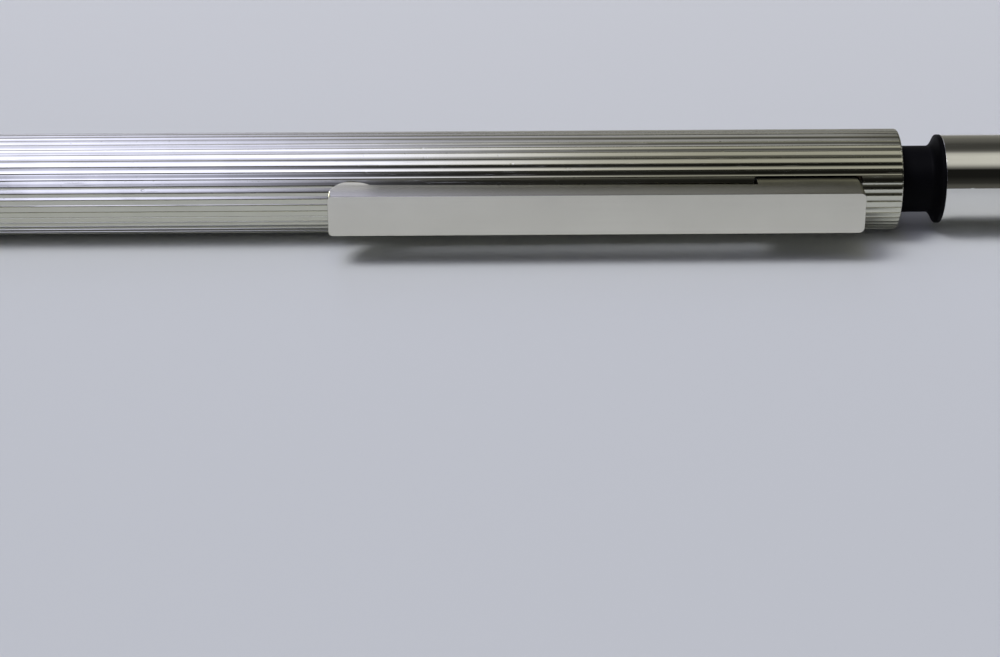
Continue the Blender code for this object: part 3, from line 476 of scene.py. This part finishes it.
def buildSpringWire():
    tree, start, end = newTree("springWire", (
        ("Turns", "NodeSocketFloat"), ("Points Per Turn", "NodeSocketInt"),
        ("Coil Radius", "NodeSocketFloat"), ("Height", "NodeSocketFloat"),
        ("Wire Radius", "NodeSocketFloat"), ("Wire Sides", "NodeSocketInt"),
        ("End Closing", "NodeSocketFloat"), ("Finish", "NodeSocketMaterial"),
    ))
    spiral = addNode(tree, "GeometryNodeCurveSpiral")
    for label, socket in (
            ("Points Per Turn", "Resolution"), ("Turns", "Rotations"), ("Coil Radius", "Start Radius"),
            ("Coil Radius", "End Radius"), ("Height", "Height")):
        tree.links.new(start.outputs[label], spiral.inputs[socket])
    here = addNode(tree, "ShaderNodeSeparateXYZ")
    tree.links.new(addNode(tree, "GeometryNodeInputPosition").outputs[0], here.inputs[0])
    share = math2(tree, "DIVIDE", here.outputs["Z"], start.outputs["Height"])
    wave = math2(tree, "SINE", math2(tree, "MULTIPLY", share, math.tau))
    closing = math2(tree, "MULTIPLY", wave, start.outputs["End Closing"])  # flattens the end turns
    closing = math2(tree, "MULTIPLY", closing, 1 / math.tau)
    height = math2(tree, "MULTIPLY", math2(tree, "SUBTRACT", share, closing), start.outputs["Height"])
    point = addNode(tree, "ShaderNodeCombineXYZ")
    tree.links.new(here.outputs["X"], point.inputs["X"])
    tree.links.new(here.outputs["Y"], point.inputs["Y"])
    tree.links.new(height, point.inputs["Z"])
    wind = addNode(tree, "GeometryNodeSetPosition")
    tree.links.new(spiral.outputs["Curve"], wind.inputs["Geometry"])
    tree.links.new(point.outputs["Vector"], wind.inputs["Position"])
    ring = addNode(tree, "GeometryNodeCurvePrimitiveCircle", mode="RADIUS")
    tree.links.new(start.outputs["Wire Sides"], ring.inputs["Resolution"])
    tree.links.new(start.outputs["Wire Radius"], ring.inputs["Radius"])
    sweep = addNode(tree, "GeometryNodeCurveToMesh")
    tree.links.new(wind.outputs["Geometry"], sweep.inputs["Curve"])
    tree.links.new(ring.outputs["Curve"], sweep.inputs["Profile Curve"])
    sweep.inputs["Fill Caps"].default_value = True
    closeTree(tree, start, end, sweep.outputs["Mesh"])
    return tree


turnedShell = buildTurnedShell()
springWire = buildSpringWire()
print("geometry trees built")


# turning node trees and rough shapes into plain meshes

def profileMesh(name, points):
    mesh = bpy.data.meshes.new(name)
    mesh.from_pydata([(radius * mm, 0, height * mm) for radius, height in points], [], [])
    return mesh


def runTree(name, mesh, tree, values):
    guide = bpy.data.objects.new(name + "Guide", mesh)
    scene.collection.objects.link(guide)
    modifier = guide.modifiers.new(name, "NODES")
    modifier.node_group = tree
    for item in tree.interface.items_tree:
        if item.in_out == "INPUT" and item.name in values:
            modifier[item.identifier] = values[item.name]
    graph = bpy.context.evaluated_depsgraph_get()
    made = bpy.data.meshes.new_from_object(guide.evaluated_get(graph), depsgraph=graph)
    bpy.data.objects.remove(guide, do_unlink=True)
    bpy.data.meshes.remove(mesh)
    made.name = name
    return made


def meshOf(shape, name):
    mesh = bpy.data.meshes.new(name)
    shape.to_mesh(mesh)
    shape.free()
    return mesh


def raisePlate(outline, half):
    # a flat outline in x and z, raised to a prism from -half to half in y
    shape = bmesh.new()
    plate = shape.faces.new([shape.verts.new((x * mm, -half * mm, z * mm)) for x, z in outline])
    raised = bmesh.ops.extrude_face_region(shape, geom=[plate])["geom"]
    raised = [part for part in raised if isinstance(part, bmesh.types.BMVert)]
    bmesh.ops.translate(shape, vec=(0, 2 * half * mm, 0), verts=raised)
    return shape


def faceOutwards(mesh):
    shape = bmesh.new()
    shape.from_mesh(mesh)
    bmesh.ops.recalc_face_normals(shape, faces=shape.faces)
    shape.to_mesh(mesh)
    shape.free()


def carve(mesh, cutters):
    body = bpy.data.objects.new("carved", mesh)
    scene.collection.objects.link(body)
    tools = []
    for cutter in cutters:
        tool = bpy.data.objects.new("cutter", cutter)
        scene.collection.objects.link(tool)
        step = body.modifiers.new("cut", "BOOLEAN")
        step.operation = "DIFFERENCE"
        step.solver = "EXACT"
        step.object = tool
        tools.append(tool)
    graph = bpy.context.evaluated_depsgraph_get()
    made = bpy.data.meshes.new_from_object(body.evaluated_get(graph), depsgraph=graph)
    for old in (body, *tools):
        oldMesh = old.data
        bpy.data.objects.remove(old, do_unlink=True)
        bpy.data.meshes.remove(oldMesh)
    return made


def blockMesh(low, high, corner=0.0):
    shape = bmesh.new()
    size = [(top - bottom) * mm for bottom, top in zip(low, high)]
    middle = [(top + bottom) / 2 * mm for bottom, top in zip(low, high)]
    bmesh.ops.create_cube(shape, size=1, matrix=Matrix.Translation(middle) @ Matrix.Diagonal((*size, 1)))
    if corner:
        upright = [edge for edge in shape.edges
                   if abs(edge.verts[0].co.x - edge.verts[1].co.x) > size[0] / 2]
        bmesh.ops.bevel(shape, geom=upright, offset=corner * mm, segments=8, affect="EDGES", profile=0.5)
    return meshOf(shape, "block")


def finishPiece(name, mesh, slot, body, node, sharpDegrees=30, flatFaces=False):
    square = 0.9999  # faces square to an axis keep flat shading where flatFaces asks for it
    flat = [flatFaces and max(map(abs, polygon.normal)) > square for polygon in mesh.polygons]
    mesh.transform(layDown)
    mesh.materials.clear()
    mesh.materials.append(finishes[slot])
    mesh.polygons.foreach_set("use_smooth", [not plain for plain in flat])
    mesh.set_sharp_from_angle(angle=math.radians(sharpDegrees))
    piece = bpy.data.objects.new(name, mesh)
    scene.collection.objects.link(piece)
    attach(piece, body)
    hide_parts(node)
    print(name, len(mesh.polygons), "faces")
    return piece


def plainTurn(name, points, slot):
    # one flute without hollow or groove is a plain turned piece
    mesh = runTree(name, profileMesh(name, points), turnedShell, {
        "Flutes": 1, "Points Per Flute": 160, "Flute Radius": 1.0, "Flute Hollow": 0.0,
        "Groove Share": 0.25, "Groove Depth": 0.0, "Finish": finishes[slot],
    })
    faceOutwards(mesh)
    return mesh


def roundCorner(centre, radius, startDegrees, endDegrees, steps):
    points = []
    for step in range(steps + 1):
        angle = math.radians(startDegrees + (endDegrees - startDegrees) * step / steps)
        points.append((centre[0] + radius * math.cos(angle), centre[1] + radius * math.sin(angle)))
    return points


# barrel: 48 hollow flutes with a fine groove between each two, slot for the clip's root
barrelSize = {
    "front": 27.1, "rear": 125.0, "radius": 4.5, "bore": 4.08, "endRound": 0.2, "mouthRound": 0.08,
    "rings": 12, "support": 0.04,  # support rings keep the long wall's shading straight
    "flutes": 48, "pointsPerFlute": 24, "hollow": 0.034, "grooveShare": 0.1667, "grooveDepth": 0.1,
    "slotFront": 111.8, "slotRear": 121.35, "slotHalf": 2.0, "slotReach": 6.5, "slotCorner": 0.25,
}


def makeBarrel():
    size = barrelSize
    outer, bore, turnOver, lip = size["radius"], size["bore"], size["endRound"], size["mouthRound"]
    front, rear, rings = size["front"], size["rear"], size["rings"]
    stations = [front + turnOver + size["support"]]
    stations += [front + (rear - front) * ring / rings for ring in range(1, rings)]
    stations += [rear - turnOver - size["support"]]
    points = roundCorner((bore + lip, front + lip), lip, 180, 270, 3)
    points += roundCorner((outer - turnOver, front + turnOver), turnOver, -90, 0, 5)
    points += [(outer, height) for height in stations]
    points += roundCorner((outer - turnOver, rear - turnOver), turnOver, 0, 90, 5)
    points += roundCorner((bore + lip, rear - lip), lip, 90, 180, 3)
    points += [(bore, height) for height in reversed(stations)]
    mesh = runTree("barrelShell", profileMesh("barrelShell", points), turnedShell, {
        "Flutes": size["flutes"], "Points Per Flute": size["pointsPerFlute"], "Flute Radius": outer * mm,
        "Flute Hollow": size["hollow"] * mm, "Groove Share": size["grooveShare"],
        "Groove Depth": size["grooveDepth"] * mm, "Finish": finishes["fluted_silver"],
    })
    faceOutwards(mesh)
    half, reach = size["slotHalf"], size["slotReach"]
    slot = blockMesh((0, -half, size["slotFront"]), (reach, half, size["slotRear"]), size["slotCorner"])
    mesh = carve(mesh, [slot])
    finishPiece("barrelShell", mesh, "fluted_silver", "barrel_body", "barrel", sharpDegrees=25)


# nose: one smooth swell from the tip to the barrel
noseSize = {
    "length": 27.0, "tip": 1.55, "full": 4.4, "fullness": 1.8, "steps": 40, "edge": 0.06,
    "tipRound": 0.15, "tipBulge": 0.05, "spigot": 3.55, "spigotEnd": 35.0,
    "bores": ((3.05, 12.0), (2.5, 8.5), (1.7, 4.0), (1.25, 0.06)),  # radius, and how far forward it goes
}


def makeNose():
    size = noseSize
    full, tip, length, edge = size["full"], size["tip"], size["length"], size["edge"]
    points, behind = [], size["spigotEnd"]
    for radius, front in size["bores"]:
        points += [(radius, behind), (radius, front)]
        behind = front
    points.append((size["bores"][-1][0] + edge, 0.0))
    tipMiddle = (tip - size["tipRound"] + size["tipBulge"], size["tipRound"])
    points += roundCorner(tipMiddle, size["tipRound"], -90, -10, 5)
    for step in range(1, size["steps"]):
        share = step / size["steps"]
        points.append((full - (full - tip) * (1 - share) ** size["fullness"], length * share))
    points += [(full, length - edge), (full - edge, length)]
    points += [(size["spigot"], length), (size["spigot"], size["spigotEnd"])]
    mesh = plainTurn("noseShell", points, "smooth_silver")
    finishPiece("noseShell", mesh, "smooth_silver", "barrel_body", "nose_cone")


# neck and cap: black collar that flares out to the polished cap
neckSize = {
    "radius": 2.97, "front": 120.8, "flareFront": 127.76, "flareRear": 128.52, "rimRear": 128.88,
    "capRadius": 3.96, "flarePower": 1.7, "flareSteps": 12, "flareLip": 0.05, "lipRise": 0.06,
    "frontEdge": 0.15, "rimEdge": 0.01, "spigot": 3.41, "spigotEnd": 136.77, "stemBore": 1.95,
}
capSize = {
    "front": 128.89, "rear": 137.57, "wall": 0.5, "edgeRound": 0.9, "mouthRound": 0.01,
    "frontSupport": 0.04, "rearSupport": 0.1,
}


def makeNeck():
    size = neckSize
    radius, rim, rimRear = size["radius"], size["capRadius"], size["rimRear"]
    front, edge = size["front"], size["frontEdge"]
    points = [(size["stemBore"], size["spigotEnd"]), (size["stemBore"], front)]
    points += [(radius - edge, front), (radius, front + edge)]
    for step in range(size["flareSteps"] + 1):
        share = step / size["flareSteps"]
        height = size["flareFront"] + (size["flareRear"] - size["flareFront"]) * share
        points.append((radius + (rim - size["flareLip"] - radius) * share ** size["flarePower"], height))
    points += [(rim, size["flareRear"] + size["lipRise"]), (rim, rimRear - size["rimEdge"])]
    points += [(rim - size["rimEdge"], rimRear), (size["spigot"], rimRear), (size["spigot"], size["spigotEnd"])]
    mesh = plainTurn("neckSleeve", points, "black_plastic")
    finishPiece("neckSleeve", mesh, "black_plastic", "button_body", "neck_collar")


def makeCap():
    size = capSize
    outer, front, rear = neckSize["capRadius"], size["front"], size["rear"]
    inner, floor = outer - size["wall"], rear - size["wall"]
    mouth, edge = size["mouthRound"], size["edgeRound"]
    points = [(0, floor), (inner, floor), (inner, front)]
    points += roundCorner((outer - mouth, front + mouth), mouth, -90, 0, 4)
    points += [(outer, front + mouth + size["frontSupport"]), (outer, rear - edge - size["rearSupport"])]
    points += roundCorner((outer - edge, rear - edge), edge, 0, 90, 14)
    points += [(0, rear)]
    finishPiece("capShell", plainTurn("capShell", points, "chrome"), "chrome", "button_body", "push_button")


# clip: folded channel with a lobe at its tip and hinged cheeks at its root
clipSize = {
    "tip": 74.5, "rear": 121.2, "half": 1.875, "sheet": 0.45, "face": 7.695,
    "tipCorner": 0.4, "rearCorner": 0.5, "fold": 0.05, "flangeTip": 2.5, "flangeRoot": 2.15,
    "lobeLength": 3.6, "lobeGap": 0.15, "lobeFullness": 0.7, "lobeSteps": 30, "shoulder": 0.2,
    "rootFront": 112.0, "tailIn": 0.25, "hinge": (2.6, 114.5), "boss": 0.75, "pinHole": 0.45, "roundSteps": 16,
    "cornerSteps": 7, "foldSteps": 5, "holeSteps": 40,
    "channelFloor": -5.0, "cutterHalf": 3.0, "pinLength": 8.0,  # cutters reach past the sheet
}


def underClip(half, gap):
    # distance from the axis at which a wall at this half width clears the barrel by the gap
    return math.sqrt(barrelSize["radius"] ** 2 - half ** 2) + gap


def clipOutline():
    size = clipSize
    tail = underClip(size["half"], -size["tailIn"])
    lobe = underClip(size["half"] - size["sheet"], size["lobeGap"])
    face, tip, rear, boss = size["face"], size["tip"], size["rear"], size["boss"]
    tipEdge, rootEdge = face - size["flangeTip"], face - size["flangeRoot"]
    across, along = size["hinge"]
    points = [(face, tip), (face, rear), (tail, rear), (tail, along + boss)]
    for step in range(size["roundSteps"] + 1):
        angle = math.pi * step / size["roundSteps"]
        points.append((across - boss * math.sin(angle), along + boss * math.cos(angle)))
    points += [(tail, size["rootFront"]), (rootEdge, size["rootFront"])]
    for step in range(size["lobeSteps"] + 1):
        share = step / size["lobeSteps"]
        swell = math.sin(math.pi * share) ** size["lobeFullness"]
        points.append((tipEdge + (lobe - tipEdge) * swell, tip + size["lobeLength"] * (1 - share)))
    return points


def tipCutter():
    # takes the corner off both flanges in front of the lobe, along a quarter ellipse
    size = clipSize
    tip, reach, shoulder = size["tip"], size["lobeLength"] / 2, size["face"] - size["shoulder"]
    lobe = underClip(size["half"] - size["sheet"], size["lobeGap"])
    outline = [(lobe - 1, tip + reach), (lobe - 1, tip - 1), (shoulder, tip - 1)]
    for step in range(size["roundSteps"] + 1):
        angle = math.pi / 2 * step / size["roundSteps"]
        outline.append((shoulder - (shoulder - lobe) * math.sin(angle), tip + reach * (1 - math.cos(angle))))
    shape = raisePlate(outline, size["cutterHalf"])
    bmesh.ops.recalc_face_normals(shape, faces=shape.faces)
    return meshOf(shape, "tipCutter")


def pinCutter():
    size = clipSize
    shape = bmesh.new()
    hole, length = size["pinHole"] * mm, size["pinLength"] * mm
    bmesh.ops.create_cone(
        shape, cap_ends=True, segments=size["holeSteps"], radius1=hole, radius2=hole, depth=length)
    mesh = meshOf(shape, "pinCutter")
    across, along = size["hinge"]
    mesh.transform(Matrix.Translation((across * mm, 0, along * mm)) @ Matrix.Rotation(math.pi / 2, 4, "X"))
    return mesh


def makeClip():
    size = clipSize
    near = 0.001 * mm
    shape = raisePlate(clipOutline(), size["half"])
    for end, corner in ((size["tip"], size["tipCorner"]), (size["rear"], size["rearCorner"])):
        edges = [edge for edge in shape.edges
                 if abs(edge.verts[0].co.y - edge.verts[1].co.y) < near
                 and all(abs(v.co.z - end * mm) < near for v in edge.verts)]
        bmesh.ops.bevel(
            shape, geom=edges, offset=corner * mm, segments=size["cornerSteps"], affect="EDGES", profile=0.5)
    rim = [edge for edge in shape.edges
           if all(abs(v.co.x - size["face"] * mm) < near for v in edge.verts)
           and edge.calc_face_angle(0) > math.radians(45)]
    fold = size["fold"] * mm
    bmesh.ops.bevel(shape, geom=rim, offset=fold, segments=size["foldSteps"], affect="EDGES", profile=0.5)
    bmesh.ops.recalc_face_normals(shape, faces=shape.faces)
    sheet, inner = size["sheet"], size["half"] - size["sheet"]
    low = (size["channelFloor"], -inner, size["tip"] + sheet)
    high = (size["face"] - sheet, inner, size["rear"] - sheet)
    mesh = carve(meshOf(shape, "clipShell"), [blockMesh(low, high), pinCutter(), tipCutter()])
    finishPiece("clipShell", mesh, "satin_steel", "clip_body", "clip", sharpDegrees=40, flatFaces=True)


# springs: round wire with closed end turns, shortened by the button and by the clip's tail
returnSpring = {
    "low": 8.55, "high": 17.15, "turns": 8.0, "radius": 2.06, "wire": 0.36, "closing": 0.55, "press": 5.0,
}
clipSpring = {
    "low": 3.4, "high": 7.15, "turns": 5.0, "radius": 0.85, "wire": 0.22, "closing": 0.4, "press": 0.3,
    "along": 118.7,
}


def springMesh(name, size):
    mesh = runTree(name, bpy.data.meshes.new(name + "Base"), springWire, {
        "Turns": size["turns"], "Points Per Turn": 40, "Coil Radius": size["radius"] * mm,
        "Height": (size["high"] - size["low"] - size["wire"]) * mm, "Wire Radius": size["wire"] / 2 * mm,
        "Wire Sides": 14, "End Closing": size["closing"], "Finish": finishes["spring_steel"],
    })
    mesh.transform(Matrix.Translation((0, 0, (size["low"] + size["wire"] / 2) * mm)))
    return mesh


def makeReturnSpring():
    size = returnSpring
    mesh = springMesh("returnCoil", size)
    piece = finishPiece("returnCoil", mesh, "spring_steel", "barrel_body", "return_spring", sharpDegrees=60)
    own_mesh(piece)


def makeClipSpring():
    size = clipSpring
    mesh = springMesh("clipCoil", size)
    mesh.transform(Matrix.Translation((0, 0, size["along"] * mm)) @ Matrix.Rotation(math.pi / 2, 4, "Y"))
    piece = finishPiece("clipCoil", mesh, "spring_steel", "barrel_body", "clip_spring", sharpDegrees=60)
    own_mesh(piece)


makeBarrel()
makeNose()
makeNeck()
makeCap()
makeClip()
makeReturnSpring()
makeClipSpring()

for part in frame["record"]["subparts"]:  # the other CAD nodes keep their shape and get a finish
    node = frame["nodes"][part["node"]]
    node.data.materials.clear()
    # the rear bush gets the near-black brass: painted shade in the slot's gap
    paintsSlotShade = part["node"] == "rear_bush"  # the only brass that shows, through the slot
    node.data.materials.append(finishes["brass_painted_shade" if paintsSlotShade else part["material_slot"]])
print("dressed", len(frame["nodes"]), "nodes")


# table, light and camera
tableLook = {
    # near and far are the table's colour with painted light: darker towards the camera, lighter behind the pen
    "size": 3.0, "near": (0.705, 0.722, 0.683), "far": (0.83, 0.84, 0.785), "fade": (-0.06, 0.12),
    "rough": 0.45, "shine": 0.08, "grainScale": 900.0, "grainBump": 0.05, "grainDepth": 0.02 * mm,
}


def makeTable():
    look = tableLook
    half = look["size"] / 2
    corners = [(-half, -half, 0), (half, -half, 0), (half, half, 0), (-half, half, 0)]
    mesh = bpy.data.meshes.new("tableTop")
    mesh.from_pydata(corners, [], [(0, 1, 2, 3)])
    made, tree, shader, place = startFinish("tablePaint", look["far"], look["rough"], 0.0)
    split = addNode(tree, "ShaderNodeSeparateXYZ")
    tree.links.new(place, split.inputs[0])
    # painted light: the table darker towards the camera and lighter behind the pen
    back = mapRange(tree, split.outputs["Y"], *look["fade"])
    tree.links.new(mixColour(tree, back, look["near"], look["far"]), shader.inputs["Base Color"])
    shader.inputs["Specular IOR Level"].default_value = look["shine"]
    grain = noiseOf(tree, place, look["grainScale"], 3.0)
    addBump(tree, shader, grain, look["grainBump"], look["grainDepth"])
    mesh.materials.append(made)
    table = bpy.data.objects.new("tableTop", mesh)
    scene.collection.objects.link(table)


# the room as the metal sees it: each light's strength by the angle over the pen (0 level in front,
# 90 overhead, 180 level behind) times its strength along the pen (-1 far left, 1 far right)
roomDim = (
    (0, 0.09), (9, 0.07), (14, 0.03), (30, 0.01), (50, 0.01), (100, 0.02), (119, 0.05), (127, 0.055),
    (139, 0.10), (154, 0.14), (174, 0.24), (180, 0.28),
)
roomLights = {
    "wide": {
        "over": (
            (49, 0.0), (55, 0.30), (62, 0.80), (67, 1.0), (86, 1.0), (94, 0.78), (102, 0.45),
            (110, 0.15), (120, 0.0),
        ),
        "along": (
            (-1.0, 0.3), (-0.35, 0.5), (-0.26, 1.85), (-0.138, 2.02), (-0.088, 1.92), (-0.023, 1.30),
            (0.046, 0.60), (0.10, 0.455), (0.15, 0.46), (0.19, 0.50), (0.205, 0.57), (0.24, 0.61),
            (0.30, 0.57), (0.40, 0.3), (1.0, 0.3),
        ),
    },
    "main": {
        "over": ((64, 0.0), (70, 0.35), (75, 1.0), (83, 1.0), (88, 0.60), (94, 0.20), (102, 0.0)),
        "along": ((-0.68, 0.0), (-0.56, 12.8), (-0.34, 12.8), (-0.27, 2.0), (-0.23, 0.0)),
    },
    "back": {
        "over": (
            (100, 0.0), (112, 0.65), (122, 0.95), (135, 1.05), (147, 0.68), (158, 0.36), (168, 0.10),
            (180, 0.0),
        ),
        "along": (
            (-1.0, 0.0), (-0.27, 0.0), (-0.24, 1.75), (-0.20, 1.75), (-0.138, 1.25), (-0.088, 0.92),
            (-0.023, 0.5), (0.046, 0.39), (0.10, 0.36), (0.16, 0.32), (0.20, 0.0),
        ),
    },
    "front": {
        "over": ((14, 0.0), (26, 0.55), (36, 1.0), (50, 1.05), (58, 0.7), (66, 0.0)),
        "along": (
            (-0.25, 0.0), (-0.22, 1.0), (-0.19, 0.92), (-0.138, 0.60), (-0.088, 0.22), (-0.05, 0.04),
            (-0.023, 0.01), (0.046, 0.01), (0.10, 0.0),
        ),
    },
    "low": {
        "over": ((0, 0.95), (10, 1.05), (18, 1.0), (26, 0.5), (33, 0.0)),
        "along": (
            (-0.25, 0.0), (-0.22, 1.42), (-0.19, 1.42), (-0.16, 1.32), (-0.138, 1.16), (-0.115, 0.84),
            (-0.092, 0.53), (-0.055, 0.10), (-0.02, 0.0),
        ),
    },
    "gap": {  # the share taken off the wide and back lights: a darker stripe between them on the right
        "over": ((94, 0.0), (103, 0.8), (119, 0.9), (128, 0.0)),
        "along": ((-0.06, 0.0), (0.03, 0.6), (0.08, 0.85), (0.25, 0.85), (0.30, 0.0)),
    },
}
roomTint = {
    "dim": (1.0, 0.98, 0.88), "left": (0.91, 0.93, 1.36), "right": (1.0, 0.985, 0.91),
    "back": (0.97, 0.98, 1.14), "main": (0.96, 0.97, 1.06), "backdrop": (0.56, 0.565, 0.61),
    "fade": (-0.13, 0.10),  # where the left tint gives way to the others
}


def roomRamp(tree, share, stops, low, high):
    node = addNode(tree, "ShaderNodeValToRGB")
    marks = node.color_ramp.elements
    while len(marks) < len(stops):
        marks.new(0.5)
    peak = max(value for place, value in stops)  # the ramp itself stays between 0 and 1
    for mark, (place, value) in zip(marks, stops):
        mark.position = (place - low) / (high - low)
        mark.color = (value / peak, value / peak, value / peak, 1.0)
    tree.links.new(share, node.inputs["Fac"])
    return math2(tree, "MULTIPLY", node.outputs["Color"], peak)


def lightPatch(tree, over, along, light):
    overhead = roomRamp(tree, over, light["over"], 0, 180)
    return math2(tree, "MULTIPLY", overhead, roomRamp(tree, along, light["along"], -1, 1))


def makeRoom():
    room = bpy.data.worlds.new("softRoom")
    scene.world = room
    room.use_nodes = True
    tree = room.node_tree
    tree.nodes.clear()
    split = addNode(tree, "ShaderNodeSeparateXYZ")
    tree.links.new(addNode(tree, "ShaderNodeTexCoord").outputs["Generated"], split.inputs[0])
    over = math2(tree, "ARCTAN2", split.outputs["Z"], math2(tree, "MULTIPLY", split.outputs["Y"], -1.0))
    over = math2(tree, "DIVIDE", over, math.pi)
    along = math2(tree, "MULTIPLY_ADD", split.outputs["X"], 0.5, 0.5)
    dim = roomRamp(tree, over, roomDim, 0, 180)
    patches = {name: lightPatch(tree, over, along, light) for name, light in roomLights.items()}
    glow = math2(tree, "ADD", patches["front"], patches["wide"])
    glow = math2(tree, "ADD", glow, patches["low"])
    kept = math2(tree, "SUBTRACT", 1.0, patches["gap"])
    glow = math2(tree, "MULTIPLY", glow, kept)
    behind = math2(tree, "MULTIPLY", patches["back"], kept)
    rightward = mapRange(tree, split.outputs["X"], *roomTint["fade"])
    glowTint = mixColour(tree, rightward, roomTint["left"], roomTint["right"])
    behindTint = mixColour(tree, rightward, roomTint["left"], roomTint["back"])
    total = None
    main = (patches["main"], roomTint["main"])
    for strength, tint in ((dim, roomTint["dim"]), (glow, glowTint), (behind, behindTint), main):
        light = addNode(tree, "ShaderNodeBackground")
        if isinstance(tint, tuple):
            light.inputs["Color"].default_value = (*tint, 1.0)
        else:
            tree.links.new(tint, light.inputs["Color"])
        tree.links.new(strength, light.inputs["Strength"])
        if total is None:
            total = light.outputs[0]
            continue
        both = addNode(tree, "ShaderNodeAddShader")
        tree.links.new(total, both.inputs[0])
        tree.links.new(light.outputs[0], both.inputs[1])
        total = both.outputs[0]
    plain = addNode(tree, "ShaderNodeBackground")
    plain.inputs["Color"].default_value = (*roomTint["backdrop"], 1.0)
    seen = addNode(tree, "ShaderNodeMixShader")
    tree.links.new(addNode(tree, "ShaderNodeLightPath").outputs["Is Camera Ray"], seen.inputs[0])
    tree.links.new(total, seen.inputs[1])
    tree.links.new(plain.outputs[0], seen.inputs[2])
    tree.links.new(seen.outputs[0], addNode(tree, "ShaderNodeOutputWorld").inputs["Surface"])


viewPoint = {
    "place": (20.1204, -172.9863, 91.1939), "elevation": 30.2928, "azimuth": 0.1703, "roll": -0.2774,
    "focalPixels": 2163.85, "imageWidth": 1000,
}


def makeCamera():
    data = bpy.data.cameras.new("penView")
    data.sensor_fit = "HORIZONTAL"
    data.sensor_width = 36.0
    data.lens = viewPoint["focalPixels"] * data.sensor_width / viewPoint["imageWidth"]
    data.clip_start = 0.005
    camera = bpy.data.objects.new("penView", data)
    scene.collection.objects.link(camera)
    tilt, swing, roll = (math.radians(viewPoint[key]) for key in ("elevation", "azimuth", "roll"))
    ahead = Vector((math.sin(swing) * math.cos(tilt), math.cos(swing) * math.cos(tilt), -math.sin(tilt)))
    side = ahead.cross(Vector((0, 0, 1))).normalized()
    up = side.cross(ahead)
    turnedSide = side * math.cos(roll) + up * math.sin(roll)
    turnedUp = up * math.cos(roll) - side * math.sin(roll)
    axes = Matrix((turnedSide, turnedUp, -ahead)).transposed().to_4x4()
    camera.matrix_world = Matrix.Translation([part * mm for part in viewPoint["place"]]) @ axes
    scene.camera = camera


makeTable()
makeRoom()
makeCamera()
print("table, room and camera set")
